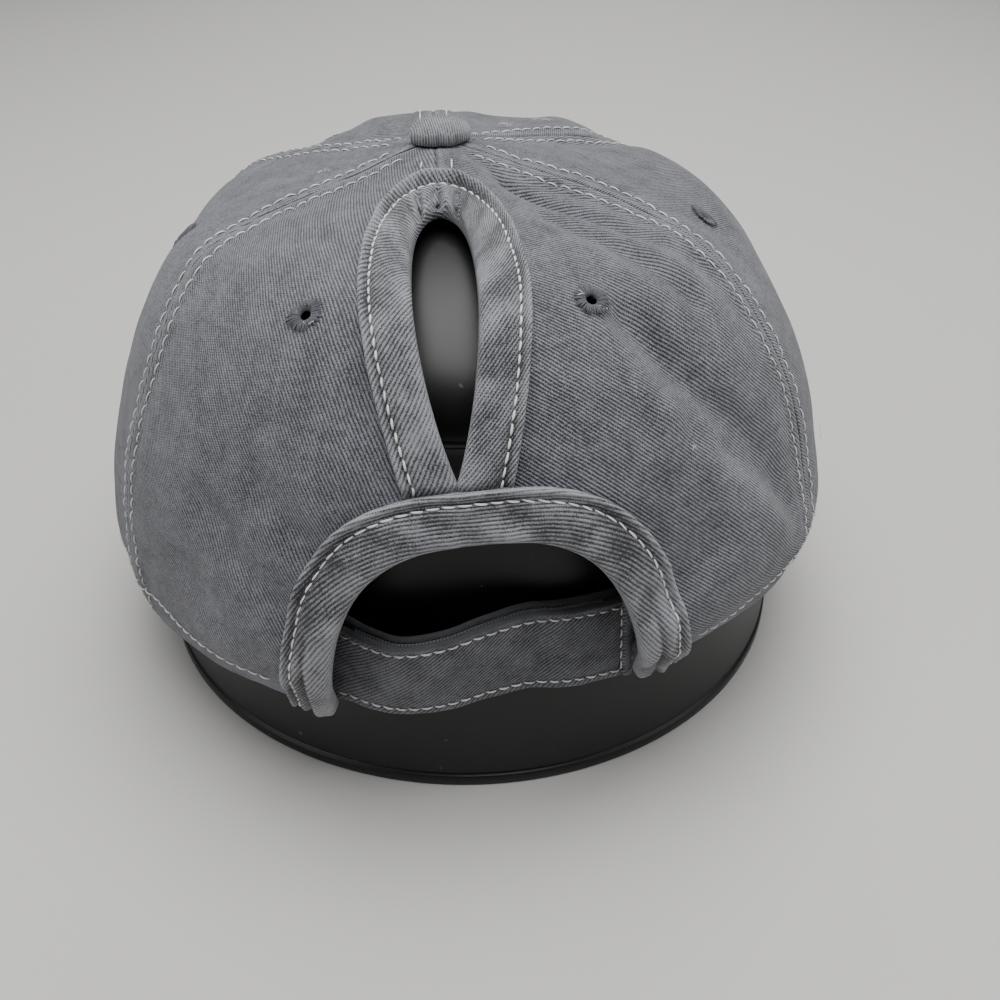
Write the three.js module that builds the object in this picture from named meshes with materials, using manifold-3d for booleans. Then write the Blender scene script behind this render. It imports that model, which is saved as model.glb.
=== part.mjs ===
// A six-panel ponytail cap with a keyhole slit, resting on a plain dome stand.
// Millimetres, +Z up, the back of the cap towards -Y and the brim towards +Y.
import * as THREE from 'three';
import { mergeVertices } from 'three/addons/utils/BufferGeometryUtils.js';
import Module from 'manifold-3d';

const wasm = await Module();
wasm.setup();

// Crown: one soft shell, measured from the axis through the button
const CROWN_HEIGHT = 103.5;
const BACK_DEPTH = 105.8;
const FRONT_DEPTH = 100;
const RIGHT_WIDTH = 98;
const LEFT_WIDTH = 91;
const FRONT_RIM_RISE = 14;
const BACK_RIM_RISE = 3.6;
const BACK_RIM_RISE_AT = 38;
const BACK_RIM_RISE_SPREAD = 30;
const CLOTH = 1.3;
const CLEAR = 0.3;
const SEWING_GAP = 0.36;
const BUTTON_HOLE = 0.022;
const FOLDS_FROM = 0.03;
const FOLDS_FULL = 0.14;

// Half outlines of the crown, as shares of the five sizes above, from the button to the
// rim; the first row mirrors the third, so that the top is round under the button
const CROWN_ROWS = [
  { down: -0.12, height: 0.961, back: -0.272, side: -0.263, front: -0.3 },
  { down: 0, height: 1, back: 0, side: 0, front: 0 },
  { down: 0.12, height: 0.961, back: 0.272, side: 0.263, front: 0.3 },
  { down: 0.25, height: 0.921, back: 0.535, side: 0.516, front: 0.572 },
  { down: 0.4, height: 0.855, back: 0.776, side: 0.695, front: 0.809 },
  { down: 0.55, height: 0.673, back: 0.929, side: 0.863, front: 0.955 },
  { down: 0.7, height: 0.452, back: 1.006, side: 0.983, front: 1.003 },
  { down: 0.85, height: 0.183, back: 1.021, side: 1.049, front: 0.989 },
  { down: 1, height: 0, back: 0.923, side: 1.04, front: 0.945 },
];

// Ridges and hollows of the soft cloth: two ends each, as degrees round from the
// back seam and shares down; lift and spread are shares of the crown height
const FOLDS = [
  { round: [168, 206], down: [0.14, 0.15], lift: 0.036, spread: 0.14 },
  { round: [132, 150], down: [0.2, 0.26], lift: 0.026, spread: 0.12 },
  { round: [40, 72], down: [0.12, 0.42], lift: -0.02, spread: 0.1 },
  { round: [34, 58], down: [0.5, 0.78], lift: -0.018, spread: 0.09 },
  { round: [70, 78], down: [0.5, 0.9], lift: 0.016, spread: 0.12 },
  { round: [30, 46], down: [0.86, 0.78], lift: 0.02, spread: 0.08 },
  { round: [-34, -52], down: [0.66, 0.86], lift: -0.018, spread: 0.09 },
  { round: [-30, -70], down: [0.3, 0.45], lift: 0.014, spread: 0.13 },
  { round: [-92, -100], down: [0.3, 0.7], lift: -0.014, spread: 0.12 },
  { round: [118, 132], down: [0.25, 0.6], lift: -0.018, spread: 0.12 },
  { round: [-140, -128], down: [0.35, 0.6], lift: -0.016, spread: 0.12 },
];

// How the cap sits on its stand, in degrees and millimetres
const CAP_TURN = 1.95;
const CAP_LEAN = -2.06;
const CAP_NOD = -3.8;
const CAP_ASIDE = -3.2;
const CAP_FORWARD = 0.35;
const CAP_OVER_DOME = 3.8;

// Openings in the back: a keyhole slit above, an arch over the strap below
const ARCH_HALF_WIDTH = 46.3;
const ARCH_HEIGHT = 65;
const ARCH_ROUNDNESS = 2.5;
const ARCH_ASIDE = 3.5;
const KEYHOLE_LENGTH = 77;
const KEYHOLE_HALF_WIDTH = 7.2;
const KEYHOLE_WIDEST = 0.55;
const KEYHOLE_SWELL = 0.85;
const KEYHOLE_FALL = 2.5;
const KEYHOLE_TIP = 0.4;
const KEYHOLE_STEPS = 24;
const KEYHOLE_STEP_BEND = 1.5;
const BINDING_WIDTH = 10.5;
const BINDING_TOP_WIDTH = 18;
const BINDING_DRAW_IN = 1.6;
const BINDING_THICKNESS = 1.2;
const BINDING_ABOVE_RIM = 0.6;
const EYELET_HOLE = 2.4;
const EYELET_DOWN = 0.4;
const EYELET_ROUND = [-150, -77, -26.4, 26, 75, 150];

// Section of a binding, as shares of its width and thickness: edges rolled down
const BINDING_ROWS = [
  { out: 0, high: 0 },
  { out: 0, high: 0.8 },
  { out: 0.12, high: 1 },
  { out: 0.88, high: 1 },
  { out: 1, high: 0.8 },
  { out: 1, high: 0 },
  { out: 0.5, high: 0 },
];

// Fabric-covered button on top, a little to the right of the crown's axis
const BUTTON_DIAMETER = 15.4;
const BUTTON_HEIGHT = 5.4;
const BUTTON_ASIDE = 1.5;
const BUTTON_FOOT = 0.86;
const BUTTON_EDGE = 0.25;
const BUTTON_ROUNDING = 0.7;

// Closure strap: two overlapping bands with hook and loop tape between them
const STRAP_HEIGHT = 22;
const STRAP_THICKNESS = 1.5;
const STRAP_ABOVE_RIM = 1.5;
const STRAP_WAVE = 2.6;
const STRAP_LEAN = 4;
const STRAP_RISE = 3.5;
const STRAP_ROOT_LENGTH = 9;
const STRAP_OVERLAP_GAP = 2.4;
const TAPE_THICKNESS = 0.6;
const TAPE_MARGIN = 4;
const TAPE_HEIGHT = 18;

// Path of the strap from the left leg to the right: inset behind the rim line, outward
// lean of its top edge and rise, as shares of STRAP_WAVE, STRAP_LEAN and STRAP_RISE
const STRAP_ROWS = [
  { along: 0, inset: 0.8, lean: 0.2, rise: 0 },
  { along: 0.14, inset: 0.8, lean: 0.1, rise: 0 },
  { along: 0.24, inset: 0.1, lean: 0.45, rise: -0.1 },
  { along: 0.34, inset: -0.2, lean: 0.95, rise: -0.1 },
  { along: 0.46, inset: 0, lean: 0.9, rise: 0.2 },
  { along: 0.57, inset: 0.5, lean: 0.65, rise: 0.6 },
  { along: 0.7, inset: 1, lean: 0.3, rise: 0.65 },
  { along: 0.82, inset: 0.9, lean: 0, rise: 0.2 },
  { along: 1, inset: 0.8, lean: -0.1, rise: 0 },
];

// Brim
const BRIM_REACH = 70;
const BRIM_SPREAD = 62;
const BRIM_HALF_WIDTH = 88;
const BRIM_THICKNESS = 3.2;
const BRIM_DROOP = 18;
const BRIM_SLOPE = 4;
const BRIM_ROUNDNESS = 2.3;

// Stand: a hollow dome with a grooved foot, open underneath. Its foot and its shoulder
// keep their room inside the narrowest side of the cap, and its dome is a share of the
// crown's height; the cap's top stands clear of it
const STAND_HEIGHT = 124;
const STAND_FOOT_ROOM = 4.2;
const STAND_SHOULDER_ROOM = 16.7;
const STAND_DOME = 0.31;
const STAND_LIP = 3.4;
const STAND_GROOVE = 0.6;
const STAND_WALL_BEND = 2.2;
const STAND_EDGE = 0.5;
const STAND_WALL = 2.5;
const STAND_SIDES = 40;
const STAND_OUTER_SHARES = [0.28, 0.45, 0.62, 0.8];
const STAND_INNER_SHARES = [0, 0.35, 0.7, 1];
const STAND_DOME_STEPS = 11;
const STAND_INNER_DOME_STEPS = 6;

const CLOTH_GREY = '#6d6e74';
const CLOTH_ROUGHNESS = 0.9;
const STAND_ROUGHNESS = 0.25;
const TAPE_GREY = '#86868a';
const STAND_BLACK = '#17181a';

// A value between the rows of a table: a smooth curve through the rows whose slope at
// each row is that of the line between its two neighbours
function along(rows, key, column, at) {
  let k = 0;
  while (k < rows.length - 2 && at > rows[k + 1][key]) {
    k += 1;
  }
  const slope = (i) => {
    const low = rows[Math.max(i - 1, 0)];
    const high = rows[Math.min(i + 1, rows.length - 1)];
    return (high[column] - low[column]) / (high[key] - low[key]);
  };
  const a = rows[k];
  const b = rows[k + 1];
  const step = b[key] - a[key];
  const t = (at - a[key]) / step;
  const t2 = t * t;
  const t3 = t2 * t;
  return (2 * t3 - 3 * t2 + 1) * a[column] + (t3 - 2 * t2 + t) * step * slope(k)
    + (3 * t2 - 2 * t3) * b[column] + (t3 - t2) * step * slope(k + 1);
}

// Half width of the crown on the side that a turn of `round` radians faces
function halfWidth(round, down) {
  return (round > 0 ? RIGHT_WIDTH : LEFT_WIDTH) * along(CROWN_ROWS, 'down', 'side', down);
}

// Lift of the folds at a place on the crown, each fading with the distance from its line
function foldLift(round, down) {
  let lift = 0;
  for (const fold of FOLDS) {
    const start = new THREE.Vector2(THREE.MathUtils.degToRad(fold.round[0]), fold.down[0] * Math.PI / 2);
    const end = new THREE.Vector2(THREE.MathUtils.degToRad(fold.round[1]), fold.down[1] * Math.PI / 2);
    const line = end.clone().sub(start);
    for (const turn of [-2 * Math.PI, 0, 2 * Math.PI]) {
      const here = new THREE.Vector2(round + turn, down * Math.PI / 2).sub(start);
      const share = THREE.MathUtils.clamp(here.dot(line) / line.lengthSq(), 0, 1);
      const away = here.sub(line.clone().multiplyScalar(share)).length() / fold.spread;
      lift += fold.lift * CROWN_HEIGHT * Math.exp(-away * away / 2);
    }
  }
  const fade = THREE.MathUtils.smoothstep(down, FOLDS_FROM, FOLDS_FULL);
  return lift * fade;
}

// Smooth form of the crown without its folds; its rim rises at the front, and to the
// right of the back opening
function crownForm(round, down) {
  const across = halfWidth(round, down) * Math.sin(round);
  const facing = Math.cos(round);
  const depth = facing > 0
    ? BACK_DEPTH * along(CROWN_ROWS, 'down', 'back', down)
    : FRONT_DEPTH * along(CROWN_ROWS, 'down', 'front', down);
  const low = Math.max(0, down);
  const fromRise = (THREE.MathUtils.radToDeg(round) - BACK_RIM_RISE_AT) / BACK_RIM_RISE_SPREAD;
  const rise = FRONT_RIM_RISE * Math.max(0, -facing) ** 2 * low ** 3
    + BACK_RIM_RISE * Math.exp(-fromRise * fromRise) * low ** 4;
  const height = CROWN_HEIGHT * along(CROWN_ROWS, 'down', 'height', down) + rise;
  return new THREE.Vector3(across, -depth * facing, height);
}

function crownNormal(round, down) {
  const step = 0.004;
  const round1 = crownForm(round + step, down);
  const round0 = crownForm(round - step, down);
  const down1 = crownForm(round, down + step);
  const down0 = crownForm(round, down - step);
  return down1.sub(down0).cross(round1.sub(round0)).normalize();
}

// A point on the crown, `lift` outside the outer face of the cloth
function onCrown(round, down, lift) {
  const out = crownNormal(round, down).multiplyScalar(lift + foldLift(round, down));
  return crownForm(round, down).add(out);
}

// Length of the back seam line down from the button, and its inverse
const BACK_STEPS = 120;
const backLengths = [{ down: 0, length: 0 }];
for (let i = 1; i <= BACK_STEPS; i += 1) {
  const down = i / BACK_STEPS;
  const last = backLengths[i - 1];
  const step = crownForm(0, down).distanceTo(crownForm(0, last.down));
  backLengths.push({ down, length: last.length + step });
}
const BACK_LENGTH = backLengths[BACK_STEPS].length;

function downAt(up) {
  const length = BACK_LENGTH - up;
  let k = 0;
  while (k < BACK_STEPS - 1 && length > backLengths[k + 1].length) {
    k += 1;
  }
  const a = backLengths[k];
  const b = backLengths[k + 1];
  return a.down + (b.down - a.down) * (length - a.length) / (b.length - a.length);
}

// A place on the back of the cap by millimetres across and up from the middle of the rim
function onBack(across, up, lift) {
  const down = downAt(up);
  return onCrown(across / halfWidth(across, down), down, lift);
}

// A closed solid between two faces over a grid; place(s, t) gives [lower, upper] points
function shell(acrossSteps, downSteps, place) {
  const points = [];
  for (let j = 0; j <= downSteps; j += 1) {
    for (let i = 0; i <= acrossSteps; i += 1) {
      const [low, high] = place(i / acrossSteps, j / downSteps);
      points.push(low, high);
    }
  }
  const at = (i, j, face) => 2 * (j * (acrossSteps + 1) + i) + face;
  const faces = [];
  const quad = (a, b, c, d) => faces.push(a, b, c, a, c, d);
  for (let j = 0; j < downSteps; j += 1) {
    for (let i = 0; i < acrossSteps; i += 1) {
      quad(at(i, j, 1), at(i, j + 1, 1), at(i + 1, j + 1, 1), at(i + 1, j, 1));
      quad(at(i, j, 0), at(i + 1, j, 0), at(i + 1, j + 1, 0), at(i, j + 1, 0));
    }
  }
  for (let i = 0; i < acrossSteps; i += 1) {
    quad(at(i, 0, 0), at(i, 0, 1), at(i + 1, 0, 1), at(i + 1, 0, 0));
    quad(at(i, downSteps, 1), at(i, downSteps, 0), at(i + 1, downSteps, 0), at(i + 1, downSteps, 1));
  }
  for (let j = 0; j < downSteps; j += 1) {
    quad(at(0, j, 0), at(0, j + 1, 0), at(0, j + 1, 1), at(0, j, 1));
    quad(at(acrossSteps, j, 1), at(acrossSteps, j + 1, 1), at(acrossSteps, j + 1, 0), at(acrossSteps, j, 0));
  }
  return geometryOf(points, faces);
}

// A closed solid swept along a row of sections, each a ring of points
function sweep(sections) {
  const ring = sections[0].length;
  const points = sections.flat();
  const faces = [];
  for (let j = 0; j < sections.length - 1; j += 1) {
    for (let i = 0; i < ring; i += 1) {
      const a = j * ring + i;
      const b = j * ring + (i + 1) % ring;
      faces.push(a, b, b + ring, a, b + ring, a + ring);
    }
  }
  const last = (sections.length - 1) * ring;
  for (let i = 1; i < ring - 1; i += 1) {
    faces.push(0, i + 1, i);
    faces.push(last, last + i, last + i + 1);
  }
  return geometryOf(points, faces);
}

// A geometry from points and triangles, turned the right way out
function geometryOf(points, faces) {
  let volume = 0;
  for (let i = 0; i < faces.length; i += 3) {
    const [a, b, c] = [points[faces[i]], points[faces[i + 1]], points[faces[i + 2]]];
    volume += a.dot(b.clone().cross(c));
  }
  const order = volume < 0 ? faces.slice().reverse() : faces;
  const geometry = new THREE.BufferGeometry();
  geometry.setAttribute('position', new THREE.Float32BufferAttribute(points.flatMap((p) => p.toArray()), 3));
  geometry.setIndex(order);
  return geometry;
}

function toSolid(geometry) {
  const bare = geometry.clone();
  bare.deleteAttribute('normal');
  bare.deleteAttribute('uv');
  const merged = mergeVertices(bare, 1e-4);
  return new wasm.Manifold(new wasm.Mesh({
    numProp: 3,
    vertProperties: new Float32Array(merged.attributes.position.array),
    triVerts: new Uint32Array(merged.index.array),
  }));
}

function fromSolid(solid) {
  const mesh = solid.getMesh();
  const geometry = new THREE.BufferGeometry();
  geometry.setAttribute('position', new THREE.BufferAttribute(mesh.vertProperties, mesh.numProp));
  geometry.setIndex(new THREE.BufferAttribute(mesh.triVerts, 1));
  return geometry;
}

function cut(geometry, cutters) {
  let solid = toSolid(geometry);
  for (const cutter of cutters) {
    solid = solid.subtract(toSolid(cutter));
  }
  return fromSolid(solid);
}

function piece(name, geometry, color, roughness, metalness = 0) {
  const material = new THREE.MeshStandardMaterial({ color, roughness, metalness });
  const mesh = new THREE.Mesh(geometry, material);
  mesh.name = name;
  return mesh;
}

// Arch outline: a superellipse standing on the rim, shrunk by `inset` all round
function archTop(share, inset) {
  const angle = Math.PI * (1 - share);
  const across = ARCH_ASIDE + (ARCH_HALF_WIDTH - inset) * Math.sign(Math.cos(angle))
    * Math.abs(Math.cos(angle)) ** (2 / ARCH_ROUNDNESS);
  const up = (ARCH_HEIGHT - inset) * Math.sin(angle) ** (2 / ARCH_ROUNDNESS);
  return [across, up];
}

// Half width of the keyhole: pointed at its lower tip, round at its top
function keyholeHalf(share) {
  if (share < KEYHOLE_WIDEST) {
    const rise = (share / KEYHOLE_WIDEST) ** KEYHOLE_SWELL;
    return Math.max(KEYHOLE_TIP, KEYHOLE_HALF_WIDTH * Math.sin(rise * Math.PI / 2));
  }
  const fall = (share - KEYHOLE_WIDEST) / (1 - KEYHOLE_WIDEST);
  return Math.max(KEYHOLE_TIP, KEYHOLE_HALF_WIDTH * (1 - fall ** KEYHOLE_FALL) ** 0.5);
}

// The keyhole's tip stands just above the arch, whose binding trims the feet of its own
const KEYHOLE_FOOT = ARCH_HEIGHT + 2 * CLEAR;
const KEYHOLE_TUCK = BINDING_WIDTH / 2;
const CUT_DEPTH = 12;

// Outer edge of the keyhole's binding as half width and height: a half ellipse over the
// widest place, drawn in below it to the width of one leg
function keyholeOuter(share) {
  const widest = KEYHOLE_HALF_WIDTH + BINDING_WIDTH;
  if (share < KEYHOLE_WIDEST) {
    const below = 1 - share / KEYHOLE_WIDEST;
    const drawn = KEYHOLE_HALF_WIDTH - KEYHOLE_TIP;
    return [widest - drawn * below ** BINDING_DRAW_IN, KEYHOLE_FOOT + KEYHOLE_LENGTH * share];
  }
  const angle = (share - KEYHOLE_WIDEST) / (1 - KEYHOLE_WIDEST) * Math.PI / 2;
  const crest = KEYHOLE_LENGTH * (1 - KEYHOLE_WIDEST) + BINDING_TOP_WIDTH;
  return [widest * Math.cos(angle), KEYHOLE_FOOT + KEYHOLE_LENGTH * KEYHOLE_WIDEST + crest * Math.sin(angle)];
}

function archCutter(inset) {
  const below = -STRAP_ABOVE_RIM * 2;
  return shell(24, 6, (s, t) => {
    const [across, top] = archTop(s, inset);
    const up = below + (top - below) * (1 - t);
    return [onBack(across, up, -CUT_DEPTH), onBack(across, up, CUT_DEPTH)];
  });
}

// Steps up the keyhole that close up towards its round top
function gatheredShare(step) {
  return 1 - (1 - step) ** KEYHOLE_STEP_BEND;
}

function keyholeCutter() {
  return shell(2, KEYHOLE_STEPS, (s, t) => {
    const share = gatheredShare(t);
    const across = keyholeHalf(share) * (2 * s - 1);
    const up = KEYHOLE_FOOT + KEYHOLE_LENGTH * share;
    return [onBack(across, up, -CUT_DEPTH / 2), onBack(across, up, CUT_DEPTH / 2)];
  });
}

function eyeletCutter(degrees) {
  const round = THREE.MathUtils.degToRad(degrees);
  const drill = new THREE.CylinderGeometry(EYELET_HOLE / 2, EYELET_HOLE / 2, CLOTH * 6, 10);
  const out = crownNormal(round, EYELET_DOWN);
  drill.applyQuaternion(new THREE.Quaternion().setFromUnitVectors(new THREE.Vector3(0, 1, 0), out));
  const at = onCrown(round, EYELET_DOWN, 0);
  return drill.translate(at.x, at.y, at.z);
}

// One crown panel between two seams, with half the sewing gap left at each
const PANEL_ACROSS = 10;
const PANEL_DOWN = 18;

function crownPanel(name, fromDegrees, toDegrees, cutters) {
  const from = THREE.MathUtils.degToRad(fromDegrees);
  const to = THREE.MathUtils.degToRad(toDegrees);
  const middle = (from + to) / 2;
  const geometry = shell(PANEL_ACROSS, PANEL_DOWN, (s, t) => {
    const down = BUTTON_HOLE + (1 - BUTTON_HOLE) * t;
    const radius = Math.hypot(crownForm(middle, down).x, crownForm(middle, down).y);
    const gap = SEWING_GAP / 2 / radius;
    const round = from + gap + (to - from - 2 * gap) * s;
    return [onCrown(round, down, -CLOTH), onCrown(round, down, 0)];
  });
  return piece(name, cut(geometry, cutters), CLOTH_GREY, CLOTH_ROUGHNESS);
}

// A band of cloth on the back between two flat lines, each a row of [across, up]
function bandOnBack(inner, outer) {
  return sweep(inner.map((from, i) => BINDING_ROWS.map(({ out, high }) => {
    const across = from[0] + (outer[i][0] - from[0]) * out;
    const up = from[1] + (outer[i][1] - from[1]) * out;
    return onBack(across, up, CLEAR + BINDING_THICKNESS * high);
  })));
}

function archBinding() {
  const steps = 40;
  const edge = (inset) => {
    const line = [];
    for (let i = 0; i <= steps; i += 1) {
      const [across, up] = archTop(i / steps, inset);
      line.push([across, Math.max(up, BINDING_ABOVE_RIM)]);
    }
    return line;
  };
  return piece('arch_binding', bandOnBack(edge(BINDING_WIDTH), edge(0)), CLOTH_GREY, CLOTH_ROUGHNESS);
}

// The keyhole's binding runs up its left edge, over the top and down its right edge
function keyholeBinding() {
  const feet = KEYHOLE_FOOT - KEYHOLE_TUCK;
  const inner = [[KEYHOLE_TIP, feet]];
  const outer = [[KEYHOLE_TIP + BINDING_WIDTH, feet]];
  for (let i = 0; i < KEYHOLE_STEPS; i += 1) {
    const share = gatheredShare(i / KEYHOLE_STEPS);
    inner.push([keyholeHalf(share), KEYHOLE_FOOT + KEYHOLE_LENGTH * share]);
    outer.push(keyholeOuter(share));
  }
  const crest = KEYHOLE_FOOT + KEYHOLE_LENGTH;
  const over = (line, top) => [
    ...line.map(([across, up]) => [-across, up]), [0, top], ...line.slice().reverse(),
  ];
  const band = bandOnBack(over(inner, crest), over(outer, crest + BINDING_TOP_WIDTH));
  return piece('keyhole_binding', cut(band, [archCutter(-2 * CLEAR)]), CLOTH_GREY, CLOTH_ROUGHNESS);
}

// The button is a shallow dome on the crown's top, over the hole where the panels meet
function topButton() {
  const radius = BUTTON_DIAMETER / 2;
  const profile = [new THREE.Vector2(0, 0), new THREE.Vector2(radius * BUTTON_FOOT, 0)];
  const steps = 6;
  for (let i = 0; i < steps; i += 1) {
    const angle = (Math.PI / 2) * i / steps;
    const z = BUTTON_HEIGHT * (BUTTON_EDGE + (1 - BUTTON_EDGE) * Math.sin(angle));
    profile.push(new THREE.Vector2(radius * Math.cos(angle) ** BUTTON_ROUNDING, z));
  }
  profile.push(new THREE.Vector2(0, BUTTON_HEIGHT));
  const geometry = new THREE.LatheGeometry(profile, 16);
  geometry.rotateX(Math.PI / 2);
  const mesh = piece('top_button', geometry, CLOTH_GREY, CLOTH_ROUGHNESS);
  mesh.position.set(BUTTON_ASIDE, 0, CROWN_HEIGHT + CLEAR);
  return mesh;
}

// Plan of the closure between the legs of the arch
const STRAP_START = ARCH_ASIDE - ARCH_HALF_WIDTH + BINDING_WIDTH - STRAP_ROOT_LENGTH;
const STRAP_END = ARCH_ASIDE + ARCH_HALF_WIDTH - BINDING_WIDTH - STRAP_OVERLAP_GAP;
const STRAP_SPAN = STRAP_END - STRAP_START;

// A point of the closure: `inside` millimetres behind the outer face, `up` above the rim
function onStrap(across, up, inside) {
  const share = (across - STRAP_START) / STRAP_SPAN;
  const row = THREE.MathUtils.clamp(share, 0, 1);
  const wave = STRAP_WAVE * along(STRAP_ROWS, 'along', 'inset', row);
  const lean = STRAP_LEAN * along(STRAP_ROWS, 'along', 'lean', row) * up / STRAP_HEIGHT;
  const rise = STRAP_RISE * along(STRAP_ROWS, 'along', 'rise', row);
  const round = across / halfWidth(across, 1);
  const rim = crownForm(round, 1);
  const out = new THREE.Vector3(rim.x, rim.y, 0).normalize();
  const place = rim.add(out.multiplyScalar(lean - wave - inside));
  return new THREE.Vector3(place.x, place.y, STRAP_ABOVE_RIM + rise + up);
}

function closureBand(name, from, to, bottom, height, inside, thickness, color) {
  const geometry = shell(18, 2, (s, t) => {
    const across = from + (to - from) * s;
    const up = bottom + height * (1 - t);
    return [onStrap(across, up, inside + thickness), onStrap(across, up, inside)];
  });
  return piece(name, geometry, color, CLOTH_ROUGHNESS);
}

function closure() {
  const group = new THREE.Group();
  const hookInside = STRAP_THICKNESS + CLEAR;
  const loopInside = hookInside + TAPE_THICKNESS + CLEAR;
  const innerInside = loopInside + TAPE_THICKNESS + CLEAR;
  const tapeBottom = (STRAP_HEIGHT - TAPE_HEIGHT) / 2;
  const innerFrom = STRAP_START + STRAP_ROOT_LENGTH + STRAP_OVERLAP_GAP;
  const innerTo = STRAP_END + STRAP_OVERLAP_GAP + STRAP_ROOT_LENGTH;
  group.add(closureBand('strap_outer', STRAP_START, STRAP_END, 0, STRAP_HEIGHT,
    0, STRAP_THICKNESS, CLOTH_GREY));
  group.add(closureBand('strap_inner', innerFrom, innerTo, 0, STRAP_HEIGHT,
    innerInside, STRAP_THICKNESS, CLOTH_GREY));
  group.add(closureBand('hook_tape', innerFrom + TAPE_MARGIN, STRAP_END - TAPE_MARGIN,
    tapeBottom, TAPE_HEIGHT, hookInside, TAPE_THICKNESS, TAPE_GREY));
  group.add(closureBand('loop_tape', innerFrom + TAPE_MARGIN, STRAP_END - TAPE_MARGIN,
    tapeBottom, TAPE_HEIGHT, loopInside, TAPE_THICKNESS, TAPE_GREY));
  return group;
}

// The brim starts under the front rim and spreads to a rounded front edge
function brim() {
  const spread = THREE.MathUtils.degToRad(BRIM_SPREAD);
  const frontRim = crownForm(Math.PI, 1);
  const corner = crownForm(Math.PI - spread, 1);
  const geometry = shell(28, 7, (s, t) => {
    const side = 2 * s - 1;
    const rim = crownForm(Math.PI - spread * side, 1);
    const angle = side * Math.PI / 2;
    const outX = BRIM_HALF_WIDTH * Math.sign(side) * Math.abs(Math.sin(angle)) ** (2 / BRIM_ROUNDNESS);
    const reach = frontRim.y + BRIM_REACH - corner.y;
    const outY = corner.y + reach * Math.cos(angle) ** (2 / BRIM_ROUNDNESS);
    const x = rim.x + (outX - rim.x) * t;
    const y = rim.y + (outY - rim.y) * t;
    const outZ = frontRim.z - BRIM_SLOPE - BRIM_DROOP * (outX / BRIM_HALF_WIDTH) ** 2;
    const top = rim.z + (outZ - rim.z) * t - CLEAR;
    return [new THREE.Vector3(x, y, top - BRIM_THICKNESS), new THREE.Vector3(x, y, top)];
  });
  return piece('brim', geometry, CLOTH_GREY, CLOTH_ROUGHNESS);
}

// The stand is one hollow moulding: grooved foot, wall that draws in, edge line and dome
function displayStand() {
  const narrowest = Math.min(
    LEFT_WIDTH - CAP_ASIDE,
    RIGHT_WIDTH + CAP_ASIDE,
    FRONT_DEPTH + CAP_FORWARD,
    BACK_DEPTH - CAP_FORWARD,
  );
  const base = narrowest - STAND_FOOT_ROOM;
  const shoulder = narrowest - STAND_SHOULDER_ROOM;
  const foot = base - STAND_GROOVE;
  const rise = STAND_DOME * CROWN_HEIGHT;
  const shoulderHeight = STAND_HEIGHT - rise;
  const wall = (share, inset) => new THREE.Vector2(
    shoulder + (foot - shoulder) * (1 - share ** STAND_WALL_BEND) - inset,
    shoulderHeight * share,
  );
  const dome = (share, inset) => new THREE.Vector2(
    share === 1 ? 0 : (shoulder - inset) * Math.cos(share * Math.PI / 2),
    shoulderHeight + (rise - inset) * Math.sin(share * Math.PI / 2),
  );
  const outer = [
    new THREE.Vector2(base, 0),
    new THREE.Vector2(base, STAND_LIP - STAND_GROOVE),
    new THREE.Vector2(foot - STAND_GROOVE, STAND_LIP),
    new THREE.Vector2(foot, STAND_LIP + STAND_GROOVE),
  ];
  for (const share of STAND_OUTER_SHARES) {
    outer.push(wall(share, 0));
  }
  outer.push(wall(1, -STAND_EDGE));
  for (let i = 0; i <= STAND_DOME_STEPS; i += 1) {
    outer.push(dome(i / STAND_DOME_STEPS, 0));
  }
  const inner = STAND_INNER_SHARES.map((share) => wall(share, STAND_WALL));
  for (let i = 1; i <= STAND_INNER_DOME_STEPS; i += 1) {
    inner.push(dome(i / STAND_INNER_DOME_STEPS, STAND_WALL));
  }
  const geometry = new THREE.LatheGeometry([...inner.reverse(), ...outer], STAND_SIDES);
  geometry.rotateX(Math.PI / 2);
  return piece('display_stand', geometry, STAND_BLACK, STAND_ROUGHNESS);
}

function cap() {
  const group = new THREE.Group();
  const openings = [archCutter(BINDING_WIDTH), keyholeCutter()];
  const eyelets = EYELET_ROUND.map(eyeletCutter);
  group.add(crownPanel('crown_front_left', -180, -120, [eyelets[0]]));
  group.add(crownPanel('crown_side_left', -120, -60, [eyelets[1]]));
  group.add(crownPanel('crown_back_left', -60, 0, [eyelets[2], ...openings]));
  group.add(crownPanel('crown_back_right', 0, 60, [eyelets[3], ...openings]));
  group.add(crownPanel('crown_side_right', 60, 120, [eyelets[4]]));
  group.add(crownPanel('crown_front_right', 120, 180, [eyelets[5]]));
  group.add(keyholeBinding());
  group.add(archBinding());
  group.add(topButton());
  group.add(brim());
  group.add(closure());
  group.rotation.set(
    THREE.MathUtils.degToRad(CAP_NOD),
    THREE.MathUtils.degToRad(CAP_LEAN),
    THREE.MathUtils.degToRad(CAP_TURN),
    'ZYX',
  );
  group.position.set(CAP_ASIDE, CAP_FORWARD, STAND_HEIGHT + CAP_OVER_DOME + CLOTH - CROWN_HEIGHT);
  return group;
}

// The origin is the middle of the whole object's box, on the surface that it stands on
const model = new THREE.Group();
model.add(displayStand());
model.add(cap());
model.updateMatrixWorld(true);
const box = new THREE.Box3().setFromObject(model, true);
const middle = box.getCenter(new THREE.Vector3());
model.position.set(-middle.x, -middle.y, -box.min.z);

const group = new THREE.Group();
group.add(model);

export default group;
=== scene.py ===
# A ponytail cap of washed cotton twill on its plain dome stand, seen from behind
import math

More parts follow.
